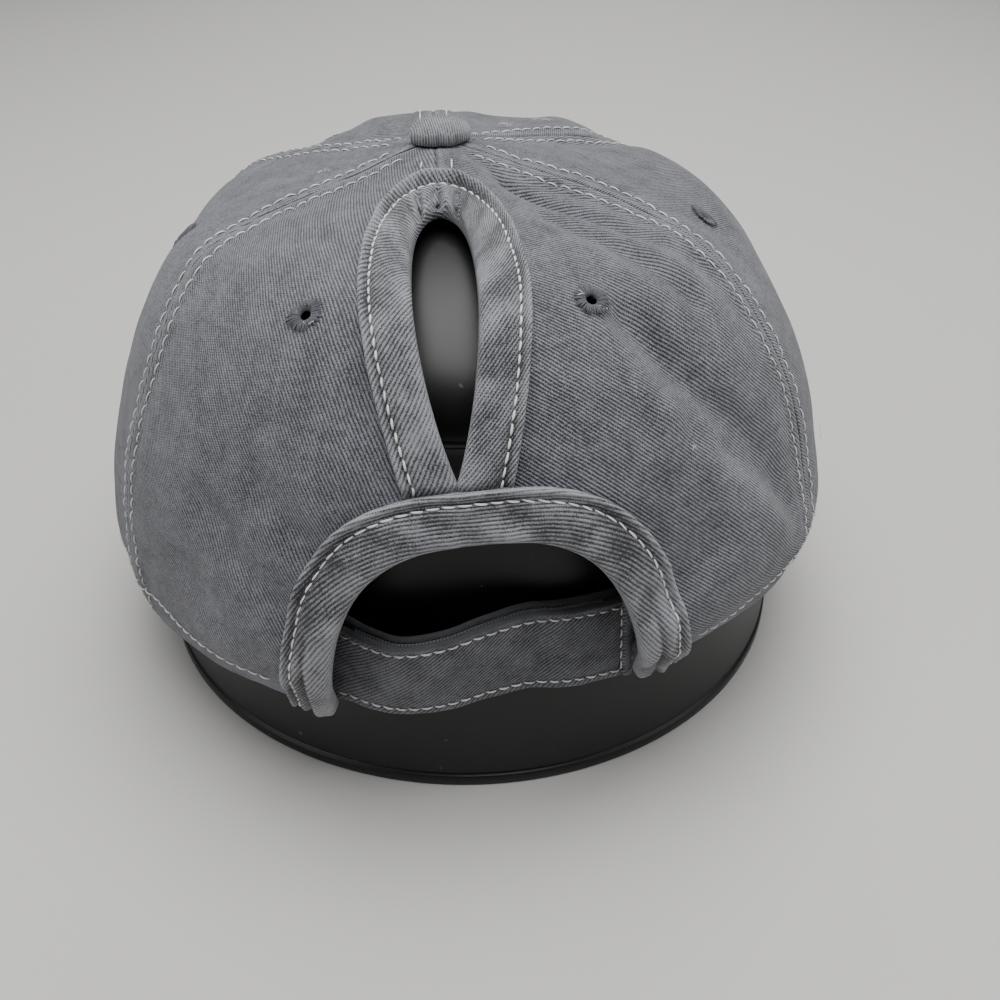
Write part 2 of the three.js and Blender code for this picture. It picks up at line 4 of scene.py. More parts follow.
import bmesh
import bpy
import numpy as np
from mathutils import Euler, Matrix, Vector


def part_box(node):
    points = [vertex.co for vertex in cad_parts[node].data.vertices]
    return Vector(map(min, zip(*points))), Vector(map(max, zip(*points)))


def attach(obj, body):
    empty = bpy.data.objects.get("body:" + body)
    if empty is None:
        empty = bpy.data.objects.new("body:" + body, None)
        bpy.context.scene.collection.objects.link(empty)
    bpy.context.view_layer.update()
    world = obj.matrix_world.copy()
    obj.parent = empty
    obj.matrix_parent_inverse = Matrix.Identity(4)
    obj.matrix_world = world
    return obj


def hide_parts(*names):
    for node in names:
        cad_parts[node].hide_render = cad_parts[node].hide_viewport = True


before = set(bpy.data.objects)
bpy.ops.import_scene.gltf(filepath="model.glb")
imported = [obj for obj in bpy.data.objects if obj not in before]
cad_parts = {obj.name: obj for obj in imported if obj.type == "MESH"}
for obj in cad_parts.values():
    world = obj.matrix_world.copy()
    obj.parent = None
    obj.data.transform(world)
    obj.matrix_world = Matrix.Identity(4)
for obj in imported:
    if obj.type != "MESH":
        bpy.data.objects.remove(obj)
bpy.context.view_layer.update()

# The view from behind and above, close enough for a strong perspective. The camera is
# measured from the middle of the stand's foot, and the floor is a plain pale sheet.
stand_low, stand_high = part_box("display_stand")
stand_middle = ((stand_low + stand_high) / 2).xy.to_3d()
CAMERA_BACK = 0.271
CAMERA_UP = 0.216
CAMERA_TILT = 35.5
CAMERA_PAN = 1.9
FOCAL_LENGTH = 39.6

camera = bpy.data.objects.new("camera", bpy.data.cameras.new("camera"))
camera.data.lens = FOCAL_LENGTH
camera.data.sensor_width = 36
camera.data.clip_start = 0.01
camera.location = stand_middle
camera.location.y -= CAMERA_BACK
camera.location.z = CAMERA_UP
camera.rotation_euler = (math.radians(90 - CAMERA_TILT), 0, -math.radians(CAMERA_PAN))
bpy.context.scene.collection.objects.link(camera)
bpy.context.scene.camera = camera

# Soft studio lamps: one broad lamp overhead, a weaker one at each side and behind
LAMPS = {
    "overhead": {"place": (0.03, -0.05, 1.0), "size": 0.85, "watts": 13.5},
    "left_fill": {"place": (-0.9, -0.5, 0.6), "size": 0.7, "watts": 2.9},
    "right_fill": {"place": (0.9, -0.4, 0.55), "size": 0.7, "watts": 2.6},
    "back_fill": {"place": (0.1, 0.9, 0.6), "size": 0.8, "watts": 3},
}
for name, lamp in LAMPS.items():
    light = bpy.data.objects.new(name, bpy.data.lights.new(name, "AREA"))
    light.data.size = lamp["size"]
    light.data.energy = lamp["watts"]
    light.location = lamp["place"]
    light.rotation_euler = (stand_middle - light.location).to_track_quat("-Z", "Y").to_euler()
    bpy.context.scene.collection.objects.link(light)

world = bpy.data.worlds.new("studio")
world.use_nodes = True
world.node_tree.nodes["Background"].inputs["Color"].default_value = (0.8, 0.82, 0.86, 1)
world.node_tree.nodes["Background"].inputs["Strength"].default_value = 0.14
bpy.context.scene.world = world

FLOOR_HALF = 2.5
floor_mesh = bpy.data.meshes.new("floor")
floor_mesh.from_pydata(
    [(-FLOOR_HALF, -FLOOR_HALF, 0), (FLOOR_HALF, -FLOOR_HALF, 0),
     (FLOOR_HALF, FLOOR_HALF, 0), (-FLOOR_HALF, FLOOR_HALF, 0)], [], [(0, 1, 2, 3)])
floor = bpy.data.objects.new("floor", floor_mesh)
paper = bpy.data.materials.new("pale_paper")
paper.use_nodes = True
paper.node_tree.nodes["Principled BSDF"].inputs["Base Color"].default_value = (0.6, 0.59, 0.57, 1)
paper.node_tree.nodes["Principled BSDF"].inputs["Roughness"].default_value = 0.8
floor_mesh.materials.append(paper)
bpy.context.scene.collection.objects.link(floor)

# The stand: one black plastic moulding with a satin gloss, open below. Its foot has a
# rounded lip and a groove, its wall draws in, and a fine edge line parts wall and dome.
MM = 0.001
STAND_BASE_RADIUS = 90
STAND_LIP = 3.4
STAND_GROOVE = 0.6
STAND_SHOULDER = 91.9
STAND_SHOULDER_RADIUS = 77.5
STAND_HEIGHT = 124
STAND_WALL_BEND = 2.2
STAND_EDGE = 0.5
STAND_EDGE_DROPS = (0.05, 0.6)
STAND_WALL = 2.5
STAND_TURNS = 160

# The foot's outline below the wall: distances in from the full radius, and heights
STAND_FOOT = {
    "in": [0.6, 0.7, 1.2, 1.2, 0.4, 0.1, 0, 0, 0.35],
    "height": [4, 3.65, 3.5, 3.3, 3.1, 2.8, 2.4, 0.4, 0],
}


class Wire:
    """One socket of a material's nodes; arithmetic with wires adds Math nodes."""

    def __init__(self, tree, socket=None):
        self.tree = tree
        self.socket = socket

    def node(self, kind, settings, inputs, output=0):
        """Adds a node of that type: its settings first, then values or wires for its sockets."""
        made = self.tree.nodes.new(kind)
        for key, value in settings.items():
            setattr(made, key, value)
        for key, value in inputs.items():
            if isinstance(value, Wire):
                self.tree.links.new(value.socket, made.inputs[key])
            else:
                made.inputs[key].default_value = value
        return Wire(self.tree, made.outputs[output])

    def math(self, operation, first, second=0.0, clamp=False):
        settings = {"operation": operation, "use_clamp": clamp}
        return self.node("ShaderNodeMath", settings, {0: first, 1: second})

    def __add__(self, other):
        return self.math("ADD", self, other)

    def __sub__(self, other):
        return self.math("SUBTRACT", self, other)

    def __rsub__(self, other):
        return self.math("SUBTRACT", other, self)

    def __mul__(self, other):
        return self.math("MULTIPLY", self, other)

    def __pow__(self, other):
        return self.math("POWER", self, other)

    __radd__ = __add__

    def sine(self):
        return self.math("SINE", self)

    def held(self):
        """The value kept between 0 and 1."""
        return self.math("ADD", self, 0.0, clamp=True)


def new_material(name, **fixed):
    """A material, a wire for its nodes and its shader, whose sockets get the fixed values."""
    material = bpy.data.materials.new(name)
    material.use_nodes = True
    tree = material.node_tree
    shader = tree.nodes["Principled BSDF"]
    for key, value in fixed.items():
        shader.inputs[key.replace("_", " ")].default_value = value
    return material, Wire(tree), shader


def feed(shader, socket, wire):
    wire.tree.links.new(wire.socket, shader.inputs[socket])


def noise(wire, place, scale, detail):
    """Irregular soft spots, that many to a unit of the place, with detail finer layers."""
    inputs = {"Vector": place, "Scale": scale, "Detail": detail}
    return wire.node("ShaderNodeTexNoise", {}, inputs, "Fac")


def mix(wire, share, low, high):
    """The low colour where share is 0, the high one where it is 1."""
    ends = {"Factor": share, "A": (*low, 1), "B": (*high, 1)}
    return wire.node("ShaderNodeMix", {"data_type": "RGBA"}, ends, 2)


DUST_FROM = 0.77
DUST_SHARPNESS = 18.0


def moulded_plastic():
    """Black plastic: fine orange-peel bump, faint smears in its gloss, a little settled dust."""
    material, wire, shader = new_material("stand_plastic", IOR=1.43)
    place = wire.node("ShaderNodeTexCoord", {}, {}, "Object")
    smear = noise(wire, place, 22.0, 3.0)
    grain = noise(wire, place, 1900.0, 1.0)
    dust = noise(wire, place, 420.0, 1.0)
    specks = ((dust - DUST_FROM) * DUST_SHARPNESS).held()
    feed(shader, "Base Color", mix(wire, specks * 0.5, (0.0045, 0.0047, 0.0052), (0.2, 0.2, 0.2)))
    feed(shader, "Roughness", 0.33 + smear * 0.12 + specks * 0.3)
    bump = wire.node("ShaderNodeBump", {}, {"Strength": 0.05, "Distance": 0.0001, "Height": grain})
    feed(shader, "Normal", bump)
    return material


def surface(name, points, keep=None, flat=None, wear_and_shade=None, capped=False, outward=None):
    """A mesh object from a grid of points in millimetres, rows by columns.

    Each four neighbouring points make a face, apart from those that keep leaves out. Rows
    or columns that come back to where they began are merged, and capped closes both end
    rows. flat is a cloth position in millimetres for each point, and wear_and_shade its
    tone: from -1, painted shade in a crease, to 1, an edge rubbed pale. outward gives the
    outward direction at a place, which an open sheet needs.
    """
    rows, columns = points.shape[:2]
    index = np.arange(rows * columns).reshape(rows, columns)
    quads = np.stack([index[:-1, :-1], index[1:, :-1], index[1:, 1:], index[:-1, 1:]], axis=-1)
    quads = quads.reshape(-1, 4) if keep is None else quads[keep]
    faces = quads.tolist()
    if capped:
        faces.append(index[0, :-1].tolist())
        faces.append(index[-1, -2::-1].tolist())
    mesh = bpy.data.meshes.new(name)
    mesh.from_pydata(points.reshape(-1, 3) * MM, [], faces)
    corners = np.empty(len(mesh.loops), dtype=np.int32)
    mesh.loops.foreach_get("vertex_index", corners)
    if flat is not None:
        layer = mesh.uv_layers.new(name="flat")
        layer.data.foreach_set("uv", flat.reshape(-1, 2)[corners].ravel())
    # Per-point tone: pale where rubbed, negative for painted shade in creases and hollows
    if wear_and_shade is not None:
        wear_and_shade_marks = mesh.attributes.new("wear_and_shade", "FLOAT", "POINT")
        wear_and_shade_marks.data.foreach_set("value", wear_and_shade.ravel())
    seal(mesh, outward)
    piece = bpy.data.objects.new(name, mesh)
    bpy.context.scene.collection.objects.link(piece)
    return piece


def seal(mesh, outward=None):
    """Merges doubled points, drops loose ones, and turns all faces outwards."""
    work = bmesh.new()
    work.from_mesh(mesh)
    bmesh.ops.remove_doubles(work, verts=work.verts, dist=2e-7)
    loose = [v for v in work.verts if not v.link_faces]
    bmesh.ops.delete(work, geom=loose, context="VERTS")
    bmesh.ops.recalc_face_normals(work, faces=work.faces)
    if outward is not None:
        facing = sum(face.normal.dot(outward(face.calc_center_median())) for face in work.faces)
        if facing < 0:
            bmesh.ops.reverse_faces(work, faces=work.faces)
    work.to_mesh(mesh)
    work.free()
    mesh.polygons.foreach_set("use_smooth", np.ones(len(mesh.polygons), dtype=bool))


def dress(piece, material, slot, *nodes):
    """Gives a piece its material and its body, and hides the solids it stands for; slot is not
    used.
    """
    piece.data.materials.append(material)
    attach(piece, "root")
    if nodes:
        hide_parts(*nodes)
    return piece


def stand_profile():
    """Radius and height: up the inside, over the dome and down to the outer foot.

    The wall's radius falls from the foot's to the shoulder's by 1 less a power of the share
    of height.
    """
    foot = STAND_BASE_RADIUS - STAND_GROOVE
    draw_in = foot - STAND_SHOULDER_RADIUS
    rise = STAND_HEIGHT - STAND_SHOULDER
    share = np.linspace(0, 1, 40)
    wall = STAND_SHOULDER_RADIUS + draw_in * (1 - share**STAND_WALL_BEND)
    turn = share * np.pi / 2
    inner_wall = np.stack([wall - STAND_WALL, STAND_SHOULDER * share], axis=1)
    inner_dome = np.stack([(STAND_SHOULDER_RADIUS - STAND_WALL) * np.cos(turn),
                           STAND_SHOULDER + (rise - STAND_WALL) * np.sin(turn)], axis=1)
    dome = np.stack([STAND_SHOULDER_RADIUS * np.cos(turn),
                     STAND_SHOULDER + rise * np.sin(turn)], axis=1)
    outer_wall = np.stack([wall, STAND_SHOULDER * share], axis=1)
    above_groove = outer_wall[outer_wall[:, 1] > STAND_LIP + 2 * STAND_GROOVE]
    ledge = np.array([(STAND_SHOULDER_RADIUS + STAND_EDGE, STAND_SHOULDER - drop)
                      for drop in STAND_EDGE_DROPS])
    lip = np.stack([STAND_BASE_RADIUS - np.array(STAND_FOOT["in"]), STAND_FOOT["height"]], axis=1)
    return np.concatenate([inner_wall, inner_dome[1:], dome[::-1], ledge,
                           above_groove[:-1][::-1], lip, inner_wall[:1]])


def lathe(profile, steps, middle=(0, 0)):
    """Points of a turned form: each radius and height of the profile goes once round the axis."""
    turn = np.linspace(0, 2 * np.pi, steps + 1)
    turn[-1] = 0
    radius = profile[:, :1]
    height = profile[:, 1:] + 0 * turn
    x = middle[0] + radius * np.cos(turn)
    y = middle[1] + radius * np.sin(turn)
    return np.stack([x, y, height], axis=-1)


stand_axis = (stand_middle.x / MM, stand_middle.y / MM)
stand = surface("stand_moulding", lathe(stand_profile(), STAND_TURNS, stand_axis))
dress(stand, moulded_plastic(), "stand_plastic", "display_stand")

# The crown: six panels of soft washed twill, sewn edge to edge with the seam allowances
# pressed open beneath and top-stitched. It has no stiffening, so it slumps and creases.
CROWN_HEIGHT = 103.5
BACK_DEPTH = 105.8
FRONT_DEPTH = 100
RIGHT_WIDTH = 98
LEFT_WIDTH = 91
FRONT_RIM_RISE = 14
BACK_RIM_RISE = 3.6
BACK_RIM_RISE_AT = 38
BACK_RIM_RISE_SPREAD = 30
FOLDS_FROM = 0.03
FOLDS_FULL = 0.14
RIPPLE_CELLS = 64
CLOTH = 1.3
BUTTON_HOLE = 0.022
CAP_TURN = 1.95
CAP_LEAN = -2.06
CAP_NOD = -3.8
CAP_PLACE = (-3.2, 0.35, 25.6)

# Half outlines of the crown as shares of its sizes, from the button down to the rim
CROWN = {
    "down": [-0.12, 0, 0.12, 0.25, 0.4, 0.55, 0.7, 0.85, 1],
    "height": [0.961, 1, 0.961, 0.921, 0.855, 0.673, 0.452, 0.183, 0],
    "back": [-0.272, 0, 0.272, 0.535, 0.776, 0.929, 1.006, 1.021, 0.923],
    "side": [-0.263, 0, 0.263, 0.516, 0.695, 0.863, 0.983, 1.049, 1.04],
    "front": [-0.3, 0, 0.3, 0.572, 0.809, 0.955, 1.003, 0.989, 0.945],
}

# Ridges and hollows: two ends each in degrees round from the back seam and shares down;
# lift and spread are shares of the crown's height. The last rows are finer creases.
FOLDS = [
    {"round": (168, 206), "down": (0.14, 0.15), "lift": 0.036, "spread": 0.14},
    {"round": (126, 140), "down": (0.22, 0.3), "lift": 0.024, "spread": 0.11},
    {"round": (40, 72), "down": (0.12, 0.42), "lift": -0.02, "spread": 0.1},
    {"round": (34, 58), "down": (0.5, 0.78), "lift": -0.018, "spread": 0.09},
    {"round": (70, 78), "down": (0.5, 0.9), "lift": -0.004, "spread": 0.12},
    {"round": (30, 46), "down": (0.86, 0.78), "lift": 0.02, "spread": 0.08},
    {"round": (-34, -52), "down": (0.66, 0.86), "lift": -0.018, "spread": 0.09},
    {"round": (-30, -70), "down": (0.3, 0.45), "lift": 0.014, "spread": 0.13},
    {"round": (-92, -100), "down": (0.3, 0.7), "lift": -0.014, "spread": 0.12},
    {"round": (118, 132), "down": (0.25, 0.6), "lift": -0.018, "spread": 0.12},
    {"round": (-140, -128), "down": (0.35, 0.6), "lift": -0.016, "spread": 0.12},
    {"round": (40, 54), "down": (0.13, 0.42), "lift": -0.019, "spread": 0.035},
    {"round": (33, 46), "down": (0.22, 0.45), "lift": -0.016, "spread": 0.03},
    {"round": (31, 51), "down": (0.44, 0.74), "lift": -0.024, "spread": 0.035},
    {"round": (35, 53), "down": (0.6, 0.8), "lift": -0.021, "spread": 0.03},
    {"round": (28, 38), "down": (0.53, 0.63), "lift": 0.015, "spread": 0.03},
    {"round": (-30, -17), "down": (0.62, 0.72), "lift": -0.014, "spread": 0.03},
    {"round": (-40, -24), "down": (0.68, 0.78), "lift": -0.013, "spread": 0.03},
    {"round": (-44, -30), "down": (0.78, 0.86), "lift": -0.008, "spread": 0.03},
    {"round": (34, 24), "down": (0.75, 0.79), "lift": -0.015, "spread": 0.028},
    {"round": (-62, -66), "down": (0.45, 0.9), "lift": -0.007, "spread": 0.04},
]


def along(table, key, column, at):
    """A smooth curve through a table's rows, sloping at each as between its neighbours."""
    x = np.array(table[key], dtype=float)
    y = np.array(table[column], dtype=float)
    slope = np.empty_like(y)
    slope[1:-1] = (y[2:] - y[:-2]) / (x[2:] - x[:-2])
    slope[0] = (y[1] - y[0]) / (x[1] - x[0])
    slope[-1] = (y[-1] - y[-2]) / (x[-1] - x[-2])
    k = np.clip(np.searchsorted(x, at) - 1, 0, len(x) - 2)
    step = x[k + 1] - x[k]
    t = (at - x[k]) / step
    return ((2 * t**3 - 3 * t**2 + 1) * y[k] + (t**3 - 2 * t**2 + t) * step * slope[k]
            + (3 * t**2 - 2 * t**3) * y[k + 1] + (t**3 - t**2) * step * slope[k + 1])


def smooth(low, high, at):
    """Rises from 0 at low to 1 at high without a corner."""
    t = np.clip((at - low) / (high - low), 0, 1)
    return t * t * (3 - 2 * t)


def bell(at, middle, spread):
    """1 at the middle, fading to both sides as a bell curve."""
    return np.exp(-(((at - middle) / spread) ** 2))


def ripple(x, y, seed):
    """Soft irregular waves from -1 to 1: seeded numbers on a unit lattice, joined smoothly."""
    numbers = np.random.default_rng(seed).uniform(-1, 1, (RIPPLE_CELLS, RIPPLE_CELLS))
    x, y = np.broadcast_arrays(x, y)
    column = np.floor(x).astype(int)
    row = np.floor(y).astype(int)
    across = smooth(0, 1, x - column)
    up = smooth(0, 1, y - row)
    left = column % RIPPLE_CELLS
    right = (column + 1) % RIPPLE_CELLS
    low = row % RIPPLE_CELLS
    high = (row + 1) % RIPPLE_CELLS
    near = numbers[low, left] * (1 - across) + numbers[low, right] * across
    far = numbers[high, left] * (1 - across) + numbers[high, right] * across
    return near * (1 - up) + far * up


def half_width(around, down):
    """Half width of the crown on the side that the turn faces."""
    return np.where(around > 0, RIGHT_WIDTH, LEFT_WIDTH) * along(CROWN, "down", "side", down)


def crown_form(around, down):
    """The crown without folds: at each height an ellipse, with its own radius on each side."""
    around, down = np.broadcast_arrays(around, down)
    facing = np.cos(around)
    depth = np.where(facing > 0, BACK_DEPTH * along(CROWN, "down", "back", down),
                     FRONT_DEPTH * along(CROWN, "down", "front", down))
    low = np.maximum(0, down)
    rise = FRONT_RIM_RISE * np.maximum(0, -facing) ** 2 * low**3
    right_back = bell(np.degrees(around), BACK_RIM_RISE_AT, BACK_RIM_RISE_SPREAD)
    rise = rise + BACK_RIM_RISE * right_back * low**4
    height = CROWN_HEIGHT * along(CROWN, "down", "height", down) + rise
    return np.stack([half_width(around, down) * np.sin(around), -depth * facing, height], axis=-1)


def crown_normal(around, down):
    """The crown's outward direction, from its slopes down and round."""
    step = 0.004
    round_slope = crown_form(around + step, down) - crown_form(around - step, down)
    down_slope = crown_form(around, down + step) - crown_form(around, down - step)
    normal = np.cross(down_slope, round_slope)
    return normal / np.linalg.norm(normal, axis=-1, keepdims=True)


def fold_lift(around, down):
    """Sum of all folds in millimetres, each fading as a bell curve away from its line."""
    around, down = np.broadcast_arrays(around, down)
    here = np.stack([around, down * np.pi / 2], axis=-1)
    lift = np.zeros(around.shape)
    for fold in FOLDS:
        ends = np.stack([np.radians(fold["round"]), np.array(fold["down"]) * np.pi / 2], axis=-1)
        line = ends[1] - ends[0]
        for turn in (-2 * np.pi, 0, 2 * np.pi):
            off = here + (turn, 0) - ends[0]
            share = np.clip(off @ line / (line @ line), 0, 1)
            away = np.linalg.norm(off - share[..., None] * line, axis=-1) / fold["spread"]
            lift = lift + fold["lift"] * CROWN_HEIGHT * np.exp(-away**2 / 2)
    return lift * smooth(FOLDS_FROM, FOLDS_FULL, down)


def on_crown(around, down, lift):
    """A place in millimetres outside the cloth's outer face."""
    out = crown_normal(around, down) * (lift + fold_lift(around, down))[..., None]
    return crown_form(around, down) + out


def on_stand(points):
    """Turns and moves places on the cap to where it sits on its stand."""
    turn = np.array(Euler((math.radians(CAP_NOD), math.radians(CAP_LEAN), 0)).to_matrix())
    spin = np.array(Euler((0, 0, math.radians(CAP_TURN))).to_matrix())
    return points @ (spin @ turn).T + CAP_PLACE + (*stand_axis, 0)


def lengths(line):
    """How far along a line of points each point lies."""
    return np.concatenate([[0], np.cumsum(np.linalg.norm(np.diff(line, axis=0), axis=1))])


back_downs = np.linspace(0, 1, 241)
back_lengths = lengths(crown_form(np.zeros(len(back_downs)), back_downs))
back_length = back_lengths[-1]


def on_back(across, up, lift):
    """A place on the cap's back by millimetres across and up from the middle of the rim."""
    down = np.interp(back_length - up, back_lengths, back_downs)
    return on_crown(across / half_width(across, down), down, lift)


# Outlines of the two openings in the back seam, in millimetres across and up
ARCH_HALF_WIDTH = 46.3
ARCH_HEIGHT = 65
ARCH_ROUNDNESS = 2.5
ARCH_ASIDE = 3.5
KEYHOLE_FOOT = 65.6
KEYHOLE_LENGTH = 77
KEYHOLE_HALF_WIDTH = 7.2
KEYHOLE_WIDEST = 0.55
KEYHOLE_RISE_BEND = 0.85
KEYHOLE_FALL_BEND = 2.5
KEYHOLE_TIP = 0.4
BINDING_WIDTH = 10.5
BINDING_TOP_WIDTH = 16.8


def in_arch(across, up, inset):
    """True inside the arch, a superellipse on the rim, shrunk by inset all round."""
    x = np.abs(across - ARCH_ASIDE) / (ARCH_HALF_WIDTH - inset)
    y = np.maximum(up, 0) / (ARCH_HEIGHT - inset)
    return x**ARCH_ROUNDNESS + y**ARCH_ROUNDNESS < 1


def keyhole_half(share):
    """Half width of the slit from its pointed lower tip to its round top."""
    up = np.clip(share / KEYHOLE_WIDEST, 0, 1)
    rise = KEYHOLE_HALF_WIDTH * np.sin(up**KEYHOLE_RISE_BEND * np.pi / 2)
    fall = np.clip((share - KEYHOLE_WIDEST) / (1 - KEYHOLE_WIDEST), 0, 1)
    crest = KEYHOLE_HALF_WIDTH * np.sqrt(1 - fall**KEYHOLE_FALL_BEND)
    return np.maximum(KEYHOLE_TIP, np.where(share < KEYHOLE_WIDEST, rise, crest))


# Panels, in millimetres, cells, degrees round and shares down. Cells lie closer at the
# seams, and the cloth ends under the bindings, a little way from the openings.
SEAM_STITCH = 3.7
SEAM_STITCH_SHARE = 0.32
SEAM_ROWS_FROM = 0.055
SEAM_ROWS_TO = 0.985
BACK_ROWS_TO = 0.118
HEM_STITCH = 12
HEM_STOP = 4
HEM_STOP_ROW = -18
PANEL_CELLS = (96, 160)
PANEL_CROWDING = 0.62
CUT_INSET = 2.5
CUT_TOP = 1.02
BACK_PANELS_TO = 60.1
EYELET_DOWN = 0.4
EYELET_ROUND = [-150, -77, -26.4, 26, 75, 150]
EYELET_HOLE = 1.5
PANELS = {
    "panel_front_left": {"from": -180, "to": -120, "ribs": -30, "node": "crown_front_left"},
    "panel_side_left": {"from": -120, "to": -60, "ribs": -30, "node": "crown_side_left"},
    "panel_back_left": {"from": -60, "to": 0, "ribs": -34, "node": "crown_back_left"},
    "panel_back_right": {"from": 0, "to": 60, "ribs": 136, "node": "crown_back_right"},
    "panel_side_right": {"from": 60, "to": 120, "ribs": 136, "node": "crown_side_right"},
    "panel_front_right": {"from": 120, "to": 180, "ribs": 136, "node": "crown_front_right"},
}


THREAD_PITCH = 0.55


def twill(name, ribs, pitch=0.78, light=(0.25, 0.257, 0.292), dark=(0.016, 0.017, 0.022),
          fade=1.0):
    """Washed twill: slanting ribs with thread-broken grooves, mottled dye, pale rubbed edges and
    ridges, and painted shade in creases, seam lines and fold hollows from the wear_and_shade
    attribute.
    """
    material, wire, shader = new_material(name, Roughness=0.92, Specular_IOR_Level=0.25,
                                          Sheen_Weight=0.25, Sheen_Roughness=0.6)
    flat = wire.node("ShaderNodeUVMap", {"uv_map": "flat"}, {})
    across = wire.node("ShaderNodeSeparateXYZ", {}, {0: flat}, 0)
    down = wire.node("ShaderNodeSeparateXYZ", {}, {0: flat}, 1)
    wear_and_shade = wire.node("ShaderNodeAttribute", {"attribute_name": "wear_and_shade"}, {}, "Fac")
    sway = noise(wire, flat, 0.09, 1.0)
    patch = noise(wire, flat, 0.045, 3.0)
    wash = noise(wire, flat, 0.17, 3.0)
    slub = noise(wire, flat, 0.7, 2.0)
    fuzz = noise(wire, flat, 2.6, 2.0)
    turn = math.radians(ribs)
    over = across * math.cos(turn) + down * math.sin(turn) + sway * 0.9
    on = down * math.cos(turn) - across * math.sin(turn)
    rib = (over * (2 * math.pi / pitch)).sine() * 0.5 + 0.5
    thread = (on * (2 * math.pi / THREAD_PITCH) + over * (math.pi / pitch)).sine() * 0.5 + 0.5
    groove = (1 - rib) ** 1.6
    weave = (1 - groove * (0.45 + thread * 0.55)) * (0.8 + thread * 0.2)
    dye = (patch - 0.5) * 0.6 + (wash - 0.5) * 0.75 + (slub - 0.5) * 0.8 + (fuzz - 0.5) * 2.0
    # wear_and_shade adds pale rubbed edges and painted shade in creases and hollows
    lit = (weave * 1.15 + dye - 0.3 + wear_and_shade * 0.45).held()
    faded_dark = [fade * part for part in dark]
    faded_light = [fade * part for part in light]
    feed(shader, "Base Color", mix(wire, lit, faded_dark, faded_light))
    relief = {"Strength": 0.85, "Distance": 0.00045, "Height": weave * 0.8 + fuzz * 0.45}
    feed(shader, "Normal", wire.node("ShaderNodeBump", {}, relief))
    return material


CAP_MIDDLE_HEIGHT = 0.06


def away_from_middle(place):
    """The direction from the cap's middle to a place on an open sheet."""
    return place - Vector((stand_middle.x, stand_middle.y, CAP_MIDDLE_HEIGHT))


# Where each panel's rows of stitching run, with their outward directions, for later
stitch_lines = {"seams": [], "hem": []}


def level(measure, wanted, values):
    """For each row of a grid, the values where the row's measure comes to what is wanted."""
    rows = []
    for row, at, value in zip(measure, wanted, values):
        order = np.argsort(row)
        rows.append([np.interp(at, row[order], value[order, axis]) for axis in range(3)])
    return np.array(rows)


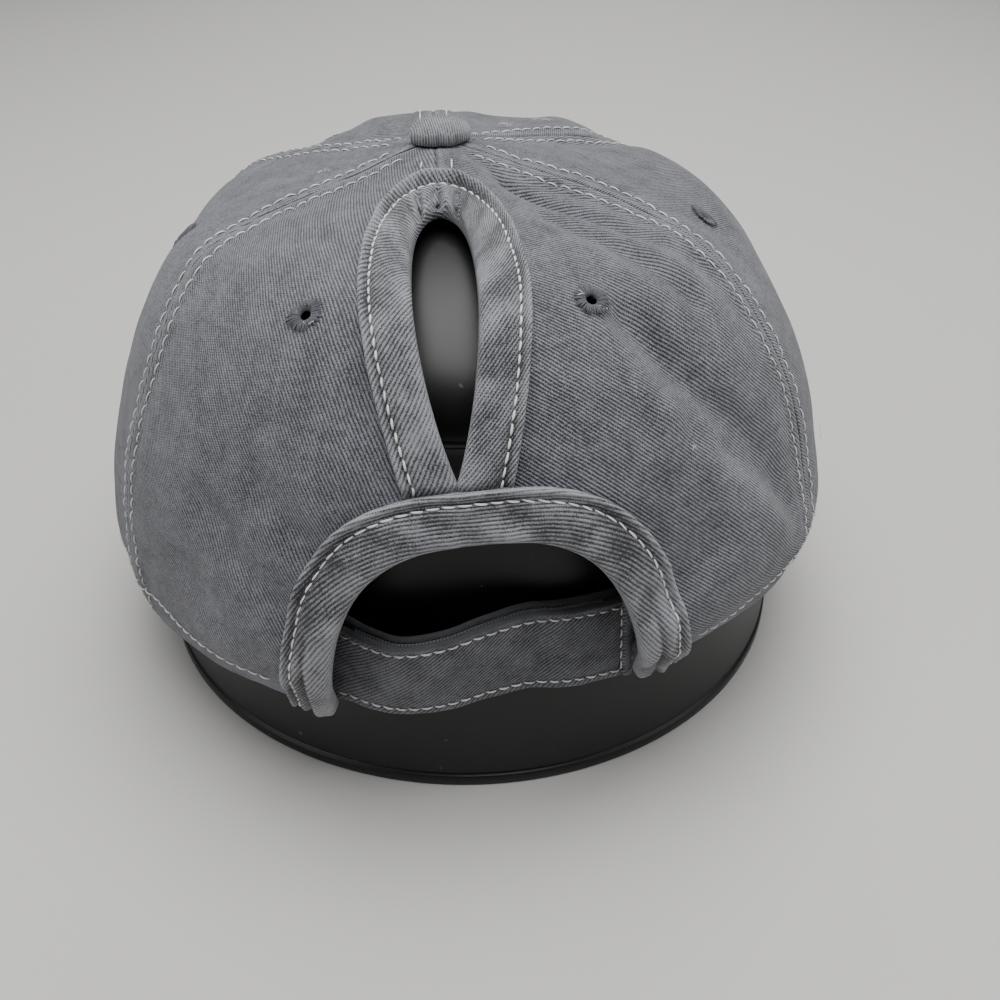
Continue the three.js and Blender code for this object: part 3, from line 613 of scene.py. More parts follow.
def crown_panel(name, plan, seed):
    """One panel as a grid of shares across and down, lifted by its seams, puckers and hem.

    Beside each seam the cloth dips into the seam line, stands up over the allowance, and
    is drawn in where it is stitched, with small irregular puckers across the stitching.
    Gives back the panel, its width at the rim, its length and its area in millimetres.
    """
    start, end = np.radians([plan["from"], plan["to"]])
    share = np.linspace(0, 1, PANEL_CELLS[0] + 1)
    share = share - PANEL_CROWDING * np.sin(2 * np.pi * share) / (2 * np.pi)
    down = BUTTON_HOLE + (1 - BUTTON_HOLE) * np.linspace(0, 1, PANEL_CELLS[1] + 1)[:, None]
    around = start + (end - start) * share + 0 * down
    down = down + 0 * around
    bare = on_crown(around, down, np.zeros(around.shape))
    steps = np.linalg.norm(np.diff(bare, axis=1), axis=2)
    run = np.concatenate([np.zeros((len(down), 1)), np.cumsum(steps, axis=1)], axis=1)
    middle = PANEL_CELLS[0] // 2
    falls = np.linalg.norm(np.diff(bare[:, middle], axis=0), axis=1)
    fall = np.concatenate([[0], np.cumsum(falls)])[:, None] + 0 * run
    off_brim = smooth(-0.35, 0.1, np.cos(around))
    lift = -0.7 * smooth(0.35, 0.6, down) * off_brim
    wear_and_shade = np.zeros(around.shape)
    width = run[:, -1:]
    for side, away in enumerate((run, width - run)):
        stitch = np.minimum(SEAM_STITCH, SEAM_STITCH_SHARE * width)
        pucker = ripple(fall / 3.1 + away / 9, away / 4 + 7 * side, seed + side)
        slack = ripple(fall / 8.5, away / 9 + 3 * side, seed + 9 + side)
        lift += -0.4 * bell(away, 0, 0.5) + 0.42 * (1 - smooth(stitch * 1.15, stitch * 1.6, away))
        lift += -0.3 * bell(away, stitch, 0.7) + 0.26 * pucker * bell(away, stitch, 2.6)
        lift += 0.45 * slack * bell(away, stitch + 4, 6)
        # Beside each seam: a ridge rubbed pale, painted shade in the seam line, and puckers paler
        # on their crests with painted shade in their dips
        wear_and_shade += 0.75 * bell(away, 1.0, 0.6) - 0.5 * bell(away, 0, 0.4)
        wear_and_shade += 0.35 * pucker * bell(away, stitch, 2.4)
    inside = smooth(0.5, 12, np.minimum(run, width - run))
    lift += inside * 0.7 * ripple(run / 23, fall / 26, seed + 21)
    lift += inside * 0.25 * ripple(run / 9, fall / 10, seed + 33)
    above_rim = fall[-1:] - fall
    lift += -0.9 * off_brim * bell(above_rim, 0, 0.8)
    lift += 0.16 * ripple(run / 4, fall / 9, seed + 4) * bell(above_rim, 6, 8)
    wear_and_shade += 0.7 * bell(above_rim, 0.9, 0.9)
    lift *= smooth(0.0, 0.06, down)
    points = on_crown(around, down, lift)
    normals = crown_normal(around, down)
    up = back_length - np.interp(down, back_downs, back_lengths)
    across = around * half_width(around, down)
    hidden = in_arch(across, up, BINDING_WIDTH - CUT_INSET)
    slit = (up - KEYHOLE_FOOT) / KEYHOLE_LENGTH
    hidden |= (np.abs(across) < keyhole_half(slit) + CUT_INSET) & (slit > 0) & (slit < CUT_TOP)
    hidden &= np.abs(around) < np.radians(BACK_PANELS_TO)
    for degrees in EYELET_ROUND:
        hole = on_crown(np.radians(degrees), np.array(EYELET_DOWN), np.array(0.0))
        hidden |= np.linalg.norm(bare - hole, axis=2) < EYELET_HOLE
    keep = ~(hidden[:-1, :-1] | hidden[1:, 1:] | hidden[1:, :-1] | hidden[:-1, 1:])
    for seam, away in ((plan["from"], run), (plan["to"], width - run)):
        rows_to = BACK_ROWS_TO if seam == 0 else SEAM_ROWS_TO
        kept = (down[:, 0] > SEAM_ROWS_FROM) & (down[:, 0] < rows_to)
        reach = np.minimum(SEAM_STITCH, SEAM_STITCH_SHARE * width[:, 0])
        line = level(away, reach, points)[kept]
        stitch_lines["seams"].append((line, level(away, reach, normals)[kept]))
    at_hem = np.full(len(share), HEM_STITCH)
    hem = level(above_rim.T, at_hem, points.transpose(1, 0, 2))
    hem_out = level(above_rim.T, at_hem, normals.transpose(1, 0, 2))
    clear_of_arch = np.full(len(share), True)
    if 0 in (plan["from"], plan["to"]):
        clear_of_arch = ~in_arch(across, up, -HEM_STOP)[HEM_STOP_ROW]
    stitch_lines["hem"].append((hem[clear_of_arch], hem_out[clear_of_arch]))
    flat = np.stack([run - run[:, middle:middle + 1], fall], axis=-1)
    panel = surface(name, on_stand(points), keep, flat, wear_and_shade, outward=away_from_middle)
    wall = panel.modifiers.new("cloth", "SOLIDIFY")
    wall.thickness = CLOTH * MM
    wall.offset = -1
    area = float((steps[:-1] * falls[:, None]).sum())
    return panel, float(run[-1, -1]), float(fall[-1, 0]), area


for number, (name, plan) in enumerate(PANELS.items()):
    panel, rim_width, length, area = crown_panel(name, plan, 40 + 7 * number)
    dress(panel, twill("twill_" + name, plan["ribs"]), "grey_twill", plan["node"])

# The bindings: bias strips of the same twill, folded over the cut edges of both openings
# and held by one row of stitches. Their outer fold stands up, rubbed pale, with painted shade
# in the groove beside the stitches, and the keyhole's strip is gathered where it turns at the top.
BINDING_ROWS = {
    "point": [0, 1, 2, 3, 4, 5, 6, 7, 8, 9, 10, 11, 12, 13, 14, 15, 16],
    "out": [0.3, 0.1, -0.03, -0.05, -0.03, 0.06, 0.25, 0.5, 0.68, 0.77, 0.84, 0.92, 0.985, 1.0,
            0.96, 0.5, 0.14],
    "lift": [-2.5, -2.6, -2.0, -0.7, 0.7, 1.45, 1.65, 1.6, 1.45, 0.95, 1.0, 1.75, 1.6, 0.7,
             0.05, 0.05, -0.4],
    # Tone round the ring: paler where the fold is rubbed, negative for painted shade in its
    # grooves
    "wear_and_shade": [0, 0, 0.1, 0.4, 0.5, 0.35, 0.1, 0.0, -0.1, -0.55, -0.35, 0.7, 0.8, 0.2, -0.6, 0, 0],
}
GATHERS = [
    {"at": -6.4, "depth": 2.3, "spread": 1.2},
    {"at": -0.3, "depth": 2.4, "spread": 0.9},
    {"at": 5.6, "depth": 2.3, "spread": 1.2},
    {"at": 9.5, "depth": 0.5, "spread": 1.2},
    {"at": -11.5, "depth": 0.5, "spread": 1.3},
]
RING_STEPS = 66
STITCHED_POINT = 9
BINDING_SPAN = 10
CORE_SHARE = 0.45
CORE_BELOW = 12
CORE_BELOW_TOP = 45
KEYHOLE_DRAWN_BEND = 1.6
KEYHOLE_FEET = 4


def keyhole_lines(count):
    """The slit's edge and the strip's outer edge, from the left foot over the top to the right."""
    share = np.sin(np.linspace(0, 1, 400) * np.pi / 2)
    widest = KEYHOLE_HALF_WIDTH + BINDING_WIDTH
    turn = np.clip((share - KEYHOLE_WIDEST) / (1 - KEYHOLE_WIDEST), 0, 1) * np.pi / 2
    below = np.clip(1 - share / KEYHOLE_WIDEST, 0, 1)
    half = keyhole_half(share)
    half[-1] = 0
    drawn = (KEYHOLE_HALF_WIDTH - KEYHOLE_TIP) * below**KEYHOLE_DRAWN_BEND
    outer_half = np.where(share < KEYHOLE_WIDEST, widest - drawn, widest * np.cos(turn))
    crest = KEYHOLE_LENGTH * (1 - KEYHOLE_WIDEST) + BINDING_TOP_WIDTH
    up = KEYHOLE_FOOT + KEYHOLE_LENGTH * share
    outer_up = KEYHOLE_FOOT + np.where(share < KEYHOLE_WIDEST, KEYHOLE_LENGTH * share,
                                       KEYHOLE_LENGTH * KEYHOLE_WIDEST + crest * np.sin(turn))
    sides = []
    edges = ((half, up, KEYHOLE_TIP), (outer_half, outer_up, KEYHOLE_TIP + BINDING_WIDTH))
    for reach, rise, foot in edges:
        right = np.stack([reach, rise], axis=1)
        end = np.array([(foot, KEYHOLE_FOOT - KEYHOLE_FEET)])
        sides.append(np.concatenate([end * (-1, 1), right * (-1, 1), right[-2::-1], end]))
    both = even(np.concatenate(sides, axis=1), count)
    return both[:, :2], both[:, 2:]


def even(line, count):
    """The line again with its points at equal distances."""
    far = lengths(line)
    at = np.linspace(0, far[-1], count)
    return np.stack([np.interp(at, far, line[:, axis]) for axis in range(line.shape[1])], axis=1)


def binding(name, inner, outer, extra, bend, material, node):
    """A folded strip: the ring of BINDING_ROWS carried between two lines on the cap's back.

    extra(along, out) gives further lift and tone at each place for gathers and creases,
    paler on crests and with painted shade in hollows. The strip's weave is laid out on an arc
    of bend radians, as the strip was cut. Gives back the line of its stitching with its
    outward directions.
    """
    ring = np.linspace(0, BINDING_ROWS["point"][-1], RING_STEPS + 1)
    out = along(BINDING_ROWS, "point", "out", ring)
    lift = along(BINDING_ROWS, "point", "lift", ring)
    wear_and_shade = along(BINDING_ROWS, "point", "wear_and_shade", ring)
    out[-1], lift[-1] = out[0], lift[0]
    far = lengths((inner + outer) / 2)
    place = inner[:, None] + (outer - inner)[:, None] * out[None, :, None]
    more, wear_and_shade_marks = extra(far[:, None] - far[-1] / 2, out[None, :])
    on_top = smooth(0.0, 1.0, lift)[None, :]
    height = lift[None, :] + more * on_top
    points = on_back(place[..., 0], np.maximum(place[..., 1], 0.2), height)
    radius = far[-1] / bend + lengths(np.stack([out * BINDING_SPAN, lift], axis=1))
    turn = (far[:, None] / far[-1] - 0.5) * bend
    flat = np.stack([radius * np.sin(turn), radius * np.cos(turn)], axis=-1)
    piece = surface(name, on_stand(points), flat=flat, wear_and_shade=wear_and_shade[None, :] + wear_and_shade_marks * on_top,
                    capped=True)
    dress(piece, material, "binding_twill", node)
    stitched = points[:, round(RING_STEPS * STITCHED_POINT / BINDING_ROWS["point"][-1])]
    return stitched, stitched - crown_core(stitched)


def crown_core(points):
    """Places well inside the crown, from which its cloth faces outwards."""
    height = np.minimum(points[:, 2:] - CORE_BELOW, CROWN_HEIGHT - CORE_BELOW_TOP)
    return points * (CORE_SHARE, CORE_SHARE, 0) + (0, 0, 1) * height


def keyhole_extra(far, out):
    """Gathers at the top with painted shade in their creases, small puckers along the stitching,
    painted shade in a groove round the top, and feet that dip under the arch.
    """
    lift = 0.22 * ripple(far / 3.4, out * 3, 5) + 0.3 * ripple(far / 8, out * 1.5, 15)
    wear_and_shade_marks = 0.35 * ripple(far / 2.6, out * 4, 6)
    wear_and_shade_marks = wear_and_shade_marks + 0.7 * ripple((far + 6 * out) / 6.5, out * 1.2, 16)
    for fold in GATHERS:
        inner = 1 - smooth(0.3, 0.78, out)
        crease = bell(far, fold["at"] * (0.75 + 0.5 * out), fold["spread"]) * inner
        swell = bell(far, fold["at"] + 1.9 * fold["spread"], fold["spread"]) * inner
        lift = lift - fold["depth"] * crease + 0.35 * fold["depth"] * swell
        # Painted shade in each gather's crease, a little lighter on its swell
        wear_and_shade_marks = wear_and_shade_marks - 1.3 * crease + 0.3 * swell
    top = bell(far, 0, 22)
    lift = lift + 1.1 * top * smooth(0.85, 0.95, out) - 0.5 * top * bell(out, 0.78, 0.07)
    # Painted shade in the groove inside the strip's top
    wear_and_shade_marks = wear_and_shade_marks - 0.8 * top * bell(out, 0.8, 0.07)
    end = np.max(far)
    foot = smooth(end - 5, end - 1.5, np.abs(far))
    return lift - 1.9 * foot, wear_and_shade_marks


def arch_lines(count):
    """The strip's inner and outer edges, from the left foot over the arch to the right foot."""
    turn = np.pi * (1 - np.linspace(0, 1, 900))
    reach = np.sign(np.cos(turn)) * np.abs(np.cos(turn)) ** (2 / ARCH_ROUNDNESS)
    rise = np.abs(np.sin(turn)) ** (2 / ARCH_ROUNDNESS)
    lines = []
    for inset in (BINDING_WIDTH, 0):
        across = ARCH_ASIDE + (ARCH_HALF_WIDTH - inset) * reach
        lines.append(np.stack([across, (ARCH_HEIGHT - inset) * rise], axis=1))
    both = even(np.concatenate(lines, axis=1), count)
    return both[:, :2], both[:, 2:]


def arch_extra(far, out):
    """Diagonal drags, a fold along each leg, and a rise where it crosses the keyhole's feet; drags
    and folds are paler on their crests, with painted shade in their hollows.
    """
    drag = ripple((far + 14 * out) / 7.5, out * 1.2, 12)
    lift = 0.42 * drag + 0.16 * ripple(far / 3, out * 3, 13)
    # Paler on the drags' crests, painted shade in their hollows
    wear_and_shade_marks = 0.75 * drag + 0.3 * ripple(far / 2.6, out * 4, 14)
    end = np.max(far)
    # Along each leg a fold: paler on its ridge, painted shade in its hollow
    left_leg = 1 - smooth(-end + 20, -end + 42, far)
    lift = lift + left_leg * (0.7 * bell(out, 0.3, 0.13) - 1.0 * bell(out, 0.5, 0.07))
    wear_and_shade_marks = wear_and_shade_marks + left_leg * (0.35 * bell(out, 0.28, 0.12) - 0.9 * bell(out, 0.5, 0.06))
    right_leg = smooth(end - 44, end - 22, far)
    lift = lift + right_leg * (0.6 * bell(out, 0.55, 0.1) - 0.9 * bell(out, 0.38, 0.07))
    wear_and_shade_marks = wear_and_shade_marks + right_leg * (0.4 * bell(out, 0.57, 0.1) - 0.9 * bell(out, 0.38, 0.06))
    crossing = bell(far, 1.0, 10) * smooth(0.45, 0.75, out)
    return lift + 0.9 * crossing, wear_and_shade_marks


keyhole_row = binding("keyhole_facing", *keyhole_lines(420), keyhole_extra, 0.05,
                      twill("twill_keyhole", 55, light=(0.29, 0.295, 0.32)), "keyhole_binding")
arch_row = binding("arch_facing", *arch_lines(420), arch_extra, 1.05,
                   twill("twill_arch", 90, light=(0.33, 0.335, 0.36)), "arch_binding")

# The closure: two bands of doubled twill, stitched along both edges. The outer one
# comes from the left and ends in a turned hem; ribbed hook and loop tape joins them.
STRAP_HEIGHT = 22
STRAP_THICKNESS = 1.5
STRAP_ABOVE_RIM = 1.5
STRAP_WAVE = 2.6
STRAP_LEAN = 4
STRAP_RISE = 3.5
STRAP_ROOT = 9
STRAP_GAP = 2.4
STRAP_OVERLAP = 2.1
STRAP_STITCH = 2.1
STRAP_HEM = 2.9
BAND_ROUND = 0.7
TAPE_MARGIN = 4
TAPE_INSET = 1
CLEAR = 0.3
TAPE_THICKNESS = 0.6
STRAP_START = ARCH_ASIDE - ARCH_HALF_WIDTH + BINDING_WIDTH - STRAP_ROOT
STRAP_END = ARCH_ASIDE + ARCH_HALF_WIDTH - BINDING_WIDTH - STRAP_GAP
STRAP = {
    "along": [0, 0.14, 0.24, 0.34, 0.46, 0.57, 0.7, 0.82, 1],
    "inset": [0.8, 0.8, 0.1, -0.2, 0, 0.5, 1, 0.9, 0.8],
    "lean": [0.2, 0.1, 0.45, 0.95, 0.9, 0.65, 0.3, 0, -0.1],
    "rise": [0, 0, -0.1, -0.1, 0.2, 0.6, 0.65, 0.2, 0],
}


def on_strap(across, up, inside):
    """A place on the closure: above the rim line, drawn in or leaning out by the table's rows."""
    across, up, inside = np.broadcast_arrays(across, up, inside)
    row = np.clip((across - STRAP_START) / (STRAP_END - STRAP_START), 0, 1)
    wave = STRAP_WAVE * along(STRAP, "along", "inset", row)
    lean = STRAP_LEAN * along(STRAP, "along", "lean", row) * up / STRAP_HEIGHT
    rise = STRAP_RISE * along(STRAP, "along", "rise", row)
    rim = crown_form(across / half_width(across, 1.0), np.ones(across.shape))
    out = rim * (1, 1, 0)
    out /= np.linalg.norm(out, axis=-1, keepdims=True)
    place = rim + out * (lean - wave - inside)[..., None]
    return np.stack([place[..., 0], place[..., 1], STRAP_ABOVE_RIM + rise + up], axis=-1)


def band(name, start, end, bottom, height, inside, thickness, seed, hem, material, slot, node):
    """A doubled band: a rounded ring of front, top, back and bottom carried across the opening.

    Its edges swell and are rubbed pale, it dips at its rows of stitches, with painted
    shade in the dips, and a hem thickens its end.
    """
    across = np.linspace(start, end, 190)[:, None]
    face = np.linspace(0, 1, 25)
    edge = np.linspace(0, np.pi, 9)[1:-1]
    straight = height - 2 * BAND_ROUND
    turned = BAND_ROUND * np.sin(edge)
    up = np.concatenate([face * straight + BAND_ROUND, height - BAND_ROUND + turned,
                         (1 - face) * straight + BAND_ROUND, BAND_ROUND - turned, [BAND_ROUND]])
    depth = np.concatenate([0 * face, (1 - np.cos(edge)) / 2, 1 + 0 * face,
                            (1 + np.cos(edge)) / 2, [0]])
    from_edge = np.minimum(up, height - up)
    front = (1 - depth)[None, :]
    swell = 0.3 * bell(from_edge, 0.9, 0.7) - 0.25 * bell(from_edge, STRAP_STITCH, 0.45)
    swell = swell + 0.15 * smooth(2, 6, from_edge)
    swell = swell + 0.16 * ripple(across / 3.2, up / 5, seed)
    swell = swell + 0.2 * ripple(across / 11, up / 9, seed + 1)
    # Edges rubbed pale, painted shade in the dips at the stitch rows
    wear_and_shade_marks = 0.6 * bell(from_edge, 0.4, 0.8) - 0.5 * bell(from_edge, STRAP_STITCH, 0.4)
    wear_and_shade_marks = wear_and_shade_marks + 0.3 * ripple(across / 2.6, up / 2.6, seed + 2)
    to_end = end - across
    hem_edge = 0.75 * (1 - smooth(2.2, 2.7, to_end)) - 0.8 * bell(to_end, 0, 0.5)
    swell = swell + hem * (hem_edge - 0.35 * bell(to_end, STRAP_HEM, 0.4))
    # Hem: edges rubbed pale, painted shade in the dip at its stitching
    hem_pale = 0.6 * bell(to_end, 1.9, 0.6) + 0.7 * bell(to_end, 0.2, 0.6)
    wear_and_shade_marks = wear_and_shade_marks + hem * (hem_pale - 0.7 * bell(to_end, STRAP_HEM, 0.4))
    points = on_strap(across, bottom + up, inside + thickness * depth - swell * front)
    flat = np.stack([across + 0 * up, up + 0 * across + 40 * depth], axis=-1)
    piece = surface(name, on_stand(points), flat=flat, wear_and_shade=wear_and_shade_marks * front, capped=True)
    dress(piece, material, slot, node)
    return piece


TAPE_RIB_PITCH = 0.75


def ribbed_tape():
    """Woven hook and loop tape: close upright ribs of paler yarn with a fuzzy pile."""
    material, wire, shader = new_material("ribbed_tape", Roughness=0.9, Sheen_Weight=0.3)
    flat = wire.node("ShaderNodeUVMap", {"uv_map": "flat"}, {})
    across = wire.node("ShaderNodeSeparateXYZ", {}, {0: flat}, 0)
    fuzz = noise(wire, flat, 3.0, 2.0)
    rib = (across * (2 * math.pi / TAPE_RIB_PITCH)).sine() * 0.5 + 0.5
    pile = (rib * 0.7 + fuzz * 0.6 - 0.15).held()
    feed(shader, "Base Color", mix(wire, pile, (0.05, 0.055, 0.06), (0.3, 0.32, 0.33)))
    relief = {"Strength": 0.7, "Distance": 0.0003, "Height": rib + fuzz}
    feed(shader, "Normal", wire.node("ShaderNodeBump", {}, relief))
    return material


strap_twill = twill("twill_strap", 128, fade=0.66)
hook_inside = STRAP_THICKNESS + CLEAR
loop_inside = hook_inside + TAPE_THICKNESS + CLEAR
inner_inside = loop_inside + TAPE_THICKNESS + CLEAR
inner_start = STRAP_START + STRAP_ROOT + STRAP_GAP
inner_end = STRAP_END + STRAP_GAP + STRAP_ROOT
outer_end = STRAP_END + STRAP_OVERLAP
tape = ribbed_tape()
band("outer_band", STRAP_START, outer_end, 0, STRAP_HEIGHT, 0, STRAP_THICKNESS, 3, 1,
     strap_twill, "grey_twill", "strap_outer")
band("inner_band", inner_start, inner_end, 0, STRAP_HEIGHT, inner_inside, STRAP_THICKNESS, 23, 0,
     strap_twill, "grey_twill", "strap_inner")
tape_start = inner_start + TAPE_MARGIN
tape_end = STRAP_END - TAPE_MARGIN
tape_height = STRAP_HEIGHT - 2 * TAPE_INSET
band("hook_strip", tape_start, tape_end, TAPE_INSET, tape_height, hook_inside, TAPE_THICKNESS, 31,
     0, tape, "closure_tape", "hook_tape")
band("loop_strip", tape_start, tape_end, TAPE_INSET, tape_height, loop_inside, TAPE_THICKNESS, 37,
     0, tape, "closure_tape", "loop_tape")

# The button: a tin disc covered with a scrap of the twill, drawn tight over its rim and
# gathered beneath. It is fixed through the crown where the six seams meet.
BUTTON_RADIUS = 7.7
BUTTON_HEIGHT = 5.4
BUTTON_RIM_SHARE = 0.3
BUTTON_TURN = 0.62
BUTTON_FULLNESS = 0.72
BUTTON_ROUNDNESS = 0.9
BUTTON_ASIDE = 1.5


def button_points():
    """A shallow dome whose rim is pulled under, with slight lumps where the cover is gathered."""
    turn = np.linspace(0, 2 * np.pi, 97)
    turn[-1] = 0
    share = np.linspace(0, 1, 30)[:, None]
    angle = share * np.pi * BUTTON_TURN
    radius = BUTTON_RADIUS * np.sin(angle) ** BUTTON_FULLNESS
    rise = np.sign(np.cos(angle)) * np.abs(np.cos(angle)) ** BUTTON_ROUNDNESS
    height = BUTTON_HEIGHT * (BUTTON_RIM_SHARE + (1 - BUTTON_RIM_SHARE) * rise)
    lumps = 1 + 0.02 * ripple(np.cos(turn) * 2.2 + 5, np.sin(turn) * 2.2 + 5, 3) * share
    x = radius * lumps * np.cos(turn)
    y = radius * lumps * np.sin(turn)
    z = height + 0.18 * ripple(x / 2.4 + 9, y / 2.4 + 9, 8) + 0 * turn
    grid = np.stack([BUTTON_ASIDE + x, y, CROWN_HEIGHT + CLEAR + z], axis=-1)
    return grid, share + 0 * turn


button_grid, button_share = button_points()
# Rubbed pale on the shoulder, painted shade where the cover turns under its rim
button_wear_and_shade = 0.5 * bell(button_share, 0.7, 0.2) - 0.6 * smooth(0.85, 1, button_share)
button = surface("button_cover", on_stand(button_grid), flat=button_grid[..., :2],
                 wear_and_shade=button_wear_and_shade)
button_twill = twill("twill_button", 8, pitch=0.6, light=(0.34, 0.345, 0.365),
                     dark=(0.07, 0.07, 0.08))
dress(button, button_twill, "grey_twill", "top_button")

# The brim: a curved stiff board between two layers of twill, with rows of stitching that
# follow its front edge, and a rounded edge where the layers are turned in
BRIM_REACH = 70
BRIM_SPREAD = 62
BRIM_HALF_WIDTH = 88
BRIM_THICKNESS = 3.2
BRIM_DROOP = 18
BRIM_SLOPE = 4
BRIM_ROUNDNESS = 2.3
BRIM_TAPER = 0.85
BRIM_TAPER_BEND = 18
BRIM_TUCK = -0.05
BRIM_NOSE = 0.975
BRIM_NOSE_DEPTH = 0.02


def on_brim(side, share, drop):
    """A place on the brim from the rim (share 0) to its front edge (1), drop below its top."""
    side, share, drop = np.broadcast_arrays(side, share, drop)
    spread = math.radians(BRIM_SPREAD)
    rim = crown_form(np.pi - spread * side, np.ones(side.shape))
    front = crown_form(np.array(np.pi), np.array(1.0))
    corner = crown_form(np.array(np.pi - spread), np.array(1.0))
    share = share * (1 - BRIM_TAPER * np.abs(side) ** BRIM_TAPER_BEND)
    turn = side * np.pi / 2
    out_x = BRIM_HALF_WIDTH * np.sign(side) * np.abs(np.sin(turn)) ** (2 / BRIM_ROUNDNESS)
    reach = front[1] + BRIM_REACH - corner[1]
    out_y = corner[1] + reach * np.maximum(np.cos(turn), 0) ** (2 / BRIM_ROUNDNESS)
    out_z = front[2] - BRIM_SLOPE - BRIM_DROOP * (out_x / BRIM_HALF_WIDTH) ** 2
    x = rim[..., 0] + (out_x - rim[..., 0]) * share
    y = rim[..., 1] + (out_y - rim[..., 1]) * share
    z = rim[..., 2] + (out_z - rim[..., 2]) * share - CLEAR - drop
    return np.stack([x, y, z], axis=-1)


side = np.linspace(-1, 1, 181)[:, None]
top_share = np.linspace(BRIM_TUCK, BRIM_NOSE, 62)
nose = np.linspace(0, np.pi, 11)[1:-1]
brim_share = np.concatenate([top_share, BRIM_NOSE + BRIM_NOSE_DEPTH * np.sin(nose),
                             top_share[::-1], [BRIM_TUCK]])
brim_drop = np.concatenate([0 * top_share, (1 - np.cos(nose)) / 2, 1 + 0 * top_share, [0]])
brim_points = on_brim(side, brim_share, brim_drop * BRIM_THICKNESS)
brim_worn = 0.7 * bell(brim_share, 1, 0.02) + 0 * side
brim_piece = surface("peak", on_stand(brim_points), flat=brim_points[..., :2], wear_and_shade=brim_worn,
                     capped=True)
dress(brim_piece, twill("twill_peak", 50), "grey_twill", "brim")

# The stitching: off-white cotton thread, each stitch a short swollen strand whose ends
# dive into the cloth, in rows beside the seams and along every turned edge
STITCHES = {
    "seam": {"pitch": 3.4, "length": 3.15, "thread": 0.5},
    "keyhole": {"pitch": 2.75, "length": 2.35, "thread": 0.52},
    "arch": {"pitch": 3.1, "length": 2.75, "thread": 0.48},
    "strap": {"pitch": 2.9, "length": 2.5, "thread": 0.46},
}
TUBE_SIDES = 6
TUBE_FLATNESS = 0.8


def thread_cotton(name, dark, light):
    """Twisted cotton, mottled by the wash between its dark and its light."""
    material, wire, shader = new_material(name, Roughness=0.8, Sheen_Weight=0.2)
    place = wire.node("ShaderNodeTexCoord", {}, {}, "Object")
    stain = noise(wire, place, 260.0, 2.0)
    pale = wire.node("ShaderNodeAttribute", {"attribute_name": "wear_and_shade"}, {}, "Fac")
    feed(shader, "Base Color", mix(wire, (stain * 0.9 + pale - 0.1).held(), dark, light))
    relief = {"Strength": 0.4, "Distance": 0.0001, "Height": noise(wire, place, 2600.0, 1.0)}
    feed(shader, "Normal", wire.node("ShaderNodeBump", {}, relief))
    return material


def strands(centre, up, thick):
    """Six-sided tubes along many short lines at once, flattened a little against the cloth.

    centre, up and thick hold strands by points: places, outward directions, half widths.
    """
    run = np.gradient(centre, axis=1)
    run /= np.linalg.norm(run, axis=-1, keepdims=True)
    side = np.cross(run, up)
    side /= np.linalg.norm(side, axis=-1, keepdims=True)
    lift = np.cross(side, run)
    turn = (np.arange(TUBE_SIDES) * 2 * np.pi / TUBE_SIDES)[:, None]
    ring = lift[:, :, None] * TUBE_FLATNESS * np.cos(turn) + side[:, :, None] * np.sin(turn)
    points = centre[:, :, None] + ring * thick[..., None, None]
    count, length = centre.shape[:2]
    index = np.arange(count * length * TUBE_SIDES).reshape(count, length, TUBE_SIDES)
    wrap = np.roll(index, -1, axis=2)
    quads = np.stack([index[:, :-1], wrap[:, :-1], wrap[:, 1:], index[:, 1:]], axis=-1)
    ends = np.concatenate([index[:, 0, ::-1], index[:, -1]])
    return points.reshape(-1, 3), quads.reshape(-1, 4), ends


def stitch_row(line, out, kind, seed):
    """A row of stitches along a line: every stitch rises from the cloth and dives in again."""
    rng = np.random.default_rng(seed)
    thread = STITCHES[kind]["thread"]
    cover = STITCHES[kind]["length"] / STITCHES[kind]["pitch"]
    far = lengths(line)
    out = out / np.linalg.norm(out, axis=1, keepdims=True)
    count = max(1, int(far[-1] / STITCHES[kind]["pitch"]))
    share = np.linspace(0, 1, 7)
    length = cover * rng.uniform(0.9, 1.05, (count, 1))
    at = (np.arange(count)[:, None] + 0.5 + (share - 0.5) * length) * far[-1] / count
    centre = np.stack([np.interp(at, far, line[:, axis]) for axis in range(3)], axis=-1)
    up = np.stack([np.interp(at, far, out[:, axis]) for axis in range(3)], axis=-1)
    run = np.gradient(centre, axis=1)
    side = np.cross(run, up)
    side /= np.linalg.norm(side, axis=-1, keepdims=True)
    slant = rng.normal(0.12, 0.06, (count, 1)) * (share - 0.5) * 2
    arc = np.sin(np.pi * share)
    rise = thread * (0.9 * arc**0.6 - 0.25)
    centre = centre + side * slant[..., None] + up * rise[None, :, None]
    thick = thread / 2 * (0.45 + 0.55 * arc**0.5) * rng.uniform(0.85, 1.12, (count, 1))
    return strands(centre, up, thick)


def sewn(name, rows, pale):
    """One object from many rows of strands, all as pale as that."""
    points, faces, wear_and_shade = [], [], []
    start = 0
    for row_points, quads, ends in rows:
        points.append(row_points)
        faces += (quads + start).tolist() + (ends + start).tolist()
        start += len(row_points)
    points = np.concatenate(points)
    mesh = bpy.data.meshes.new(name)
    mesh.from_pydata(on_stand(points) * MM, [], faces)
    wear_and_shade_marks = mesh.attributes.new("wear_and_shade", "FLOAT", "POINT")
    wear_and_shade_marks.data.foreach_set("value", np.full(len(points), pale))
    mesh.polygons.foreach_set("use_smooth", np.ones(len(mesh.polygons), dtype=bool))
    piece = bpy.data.objects.new(name, mesh)
    bpy.context.scene.collection.objects.link(piece)
    return piece


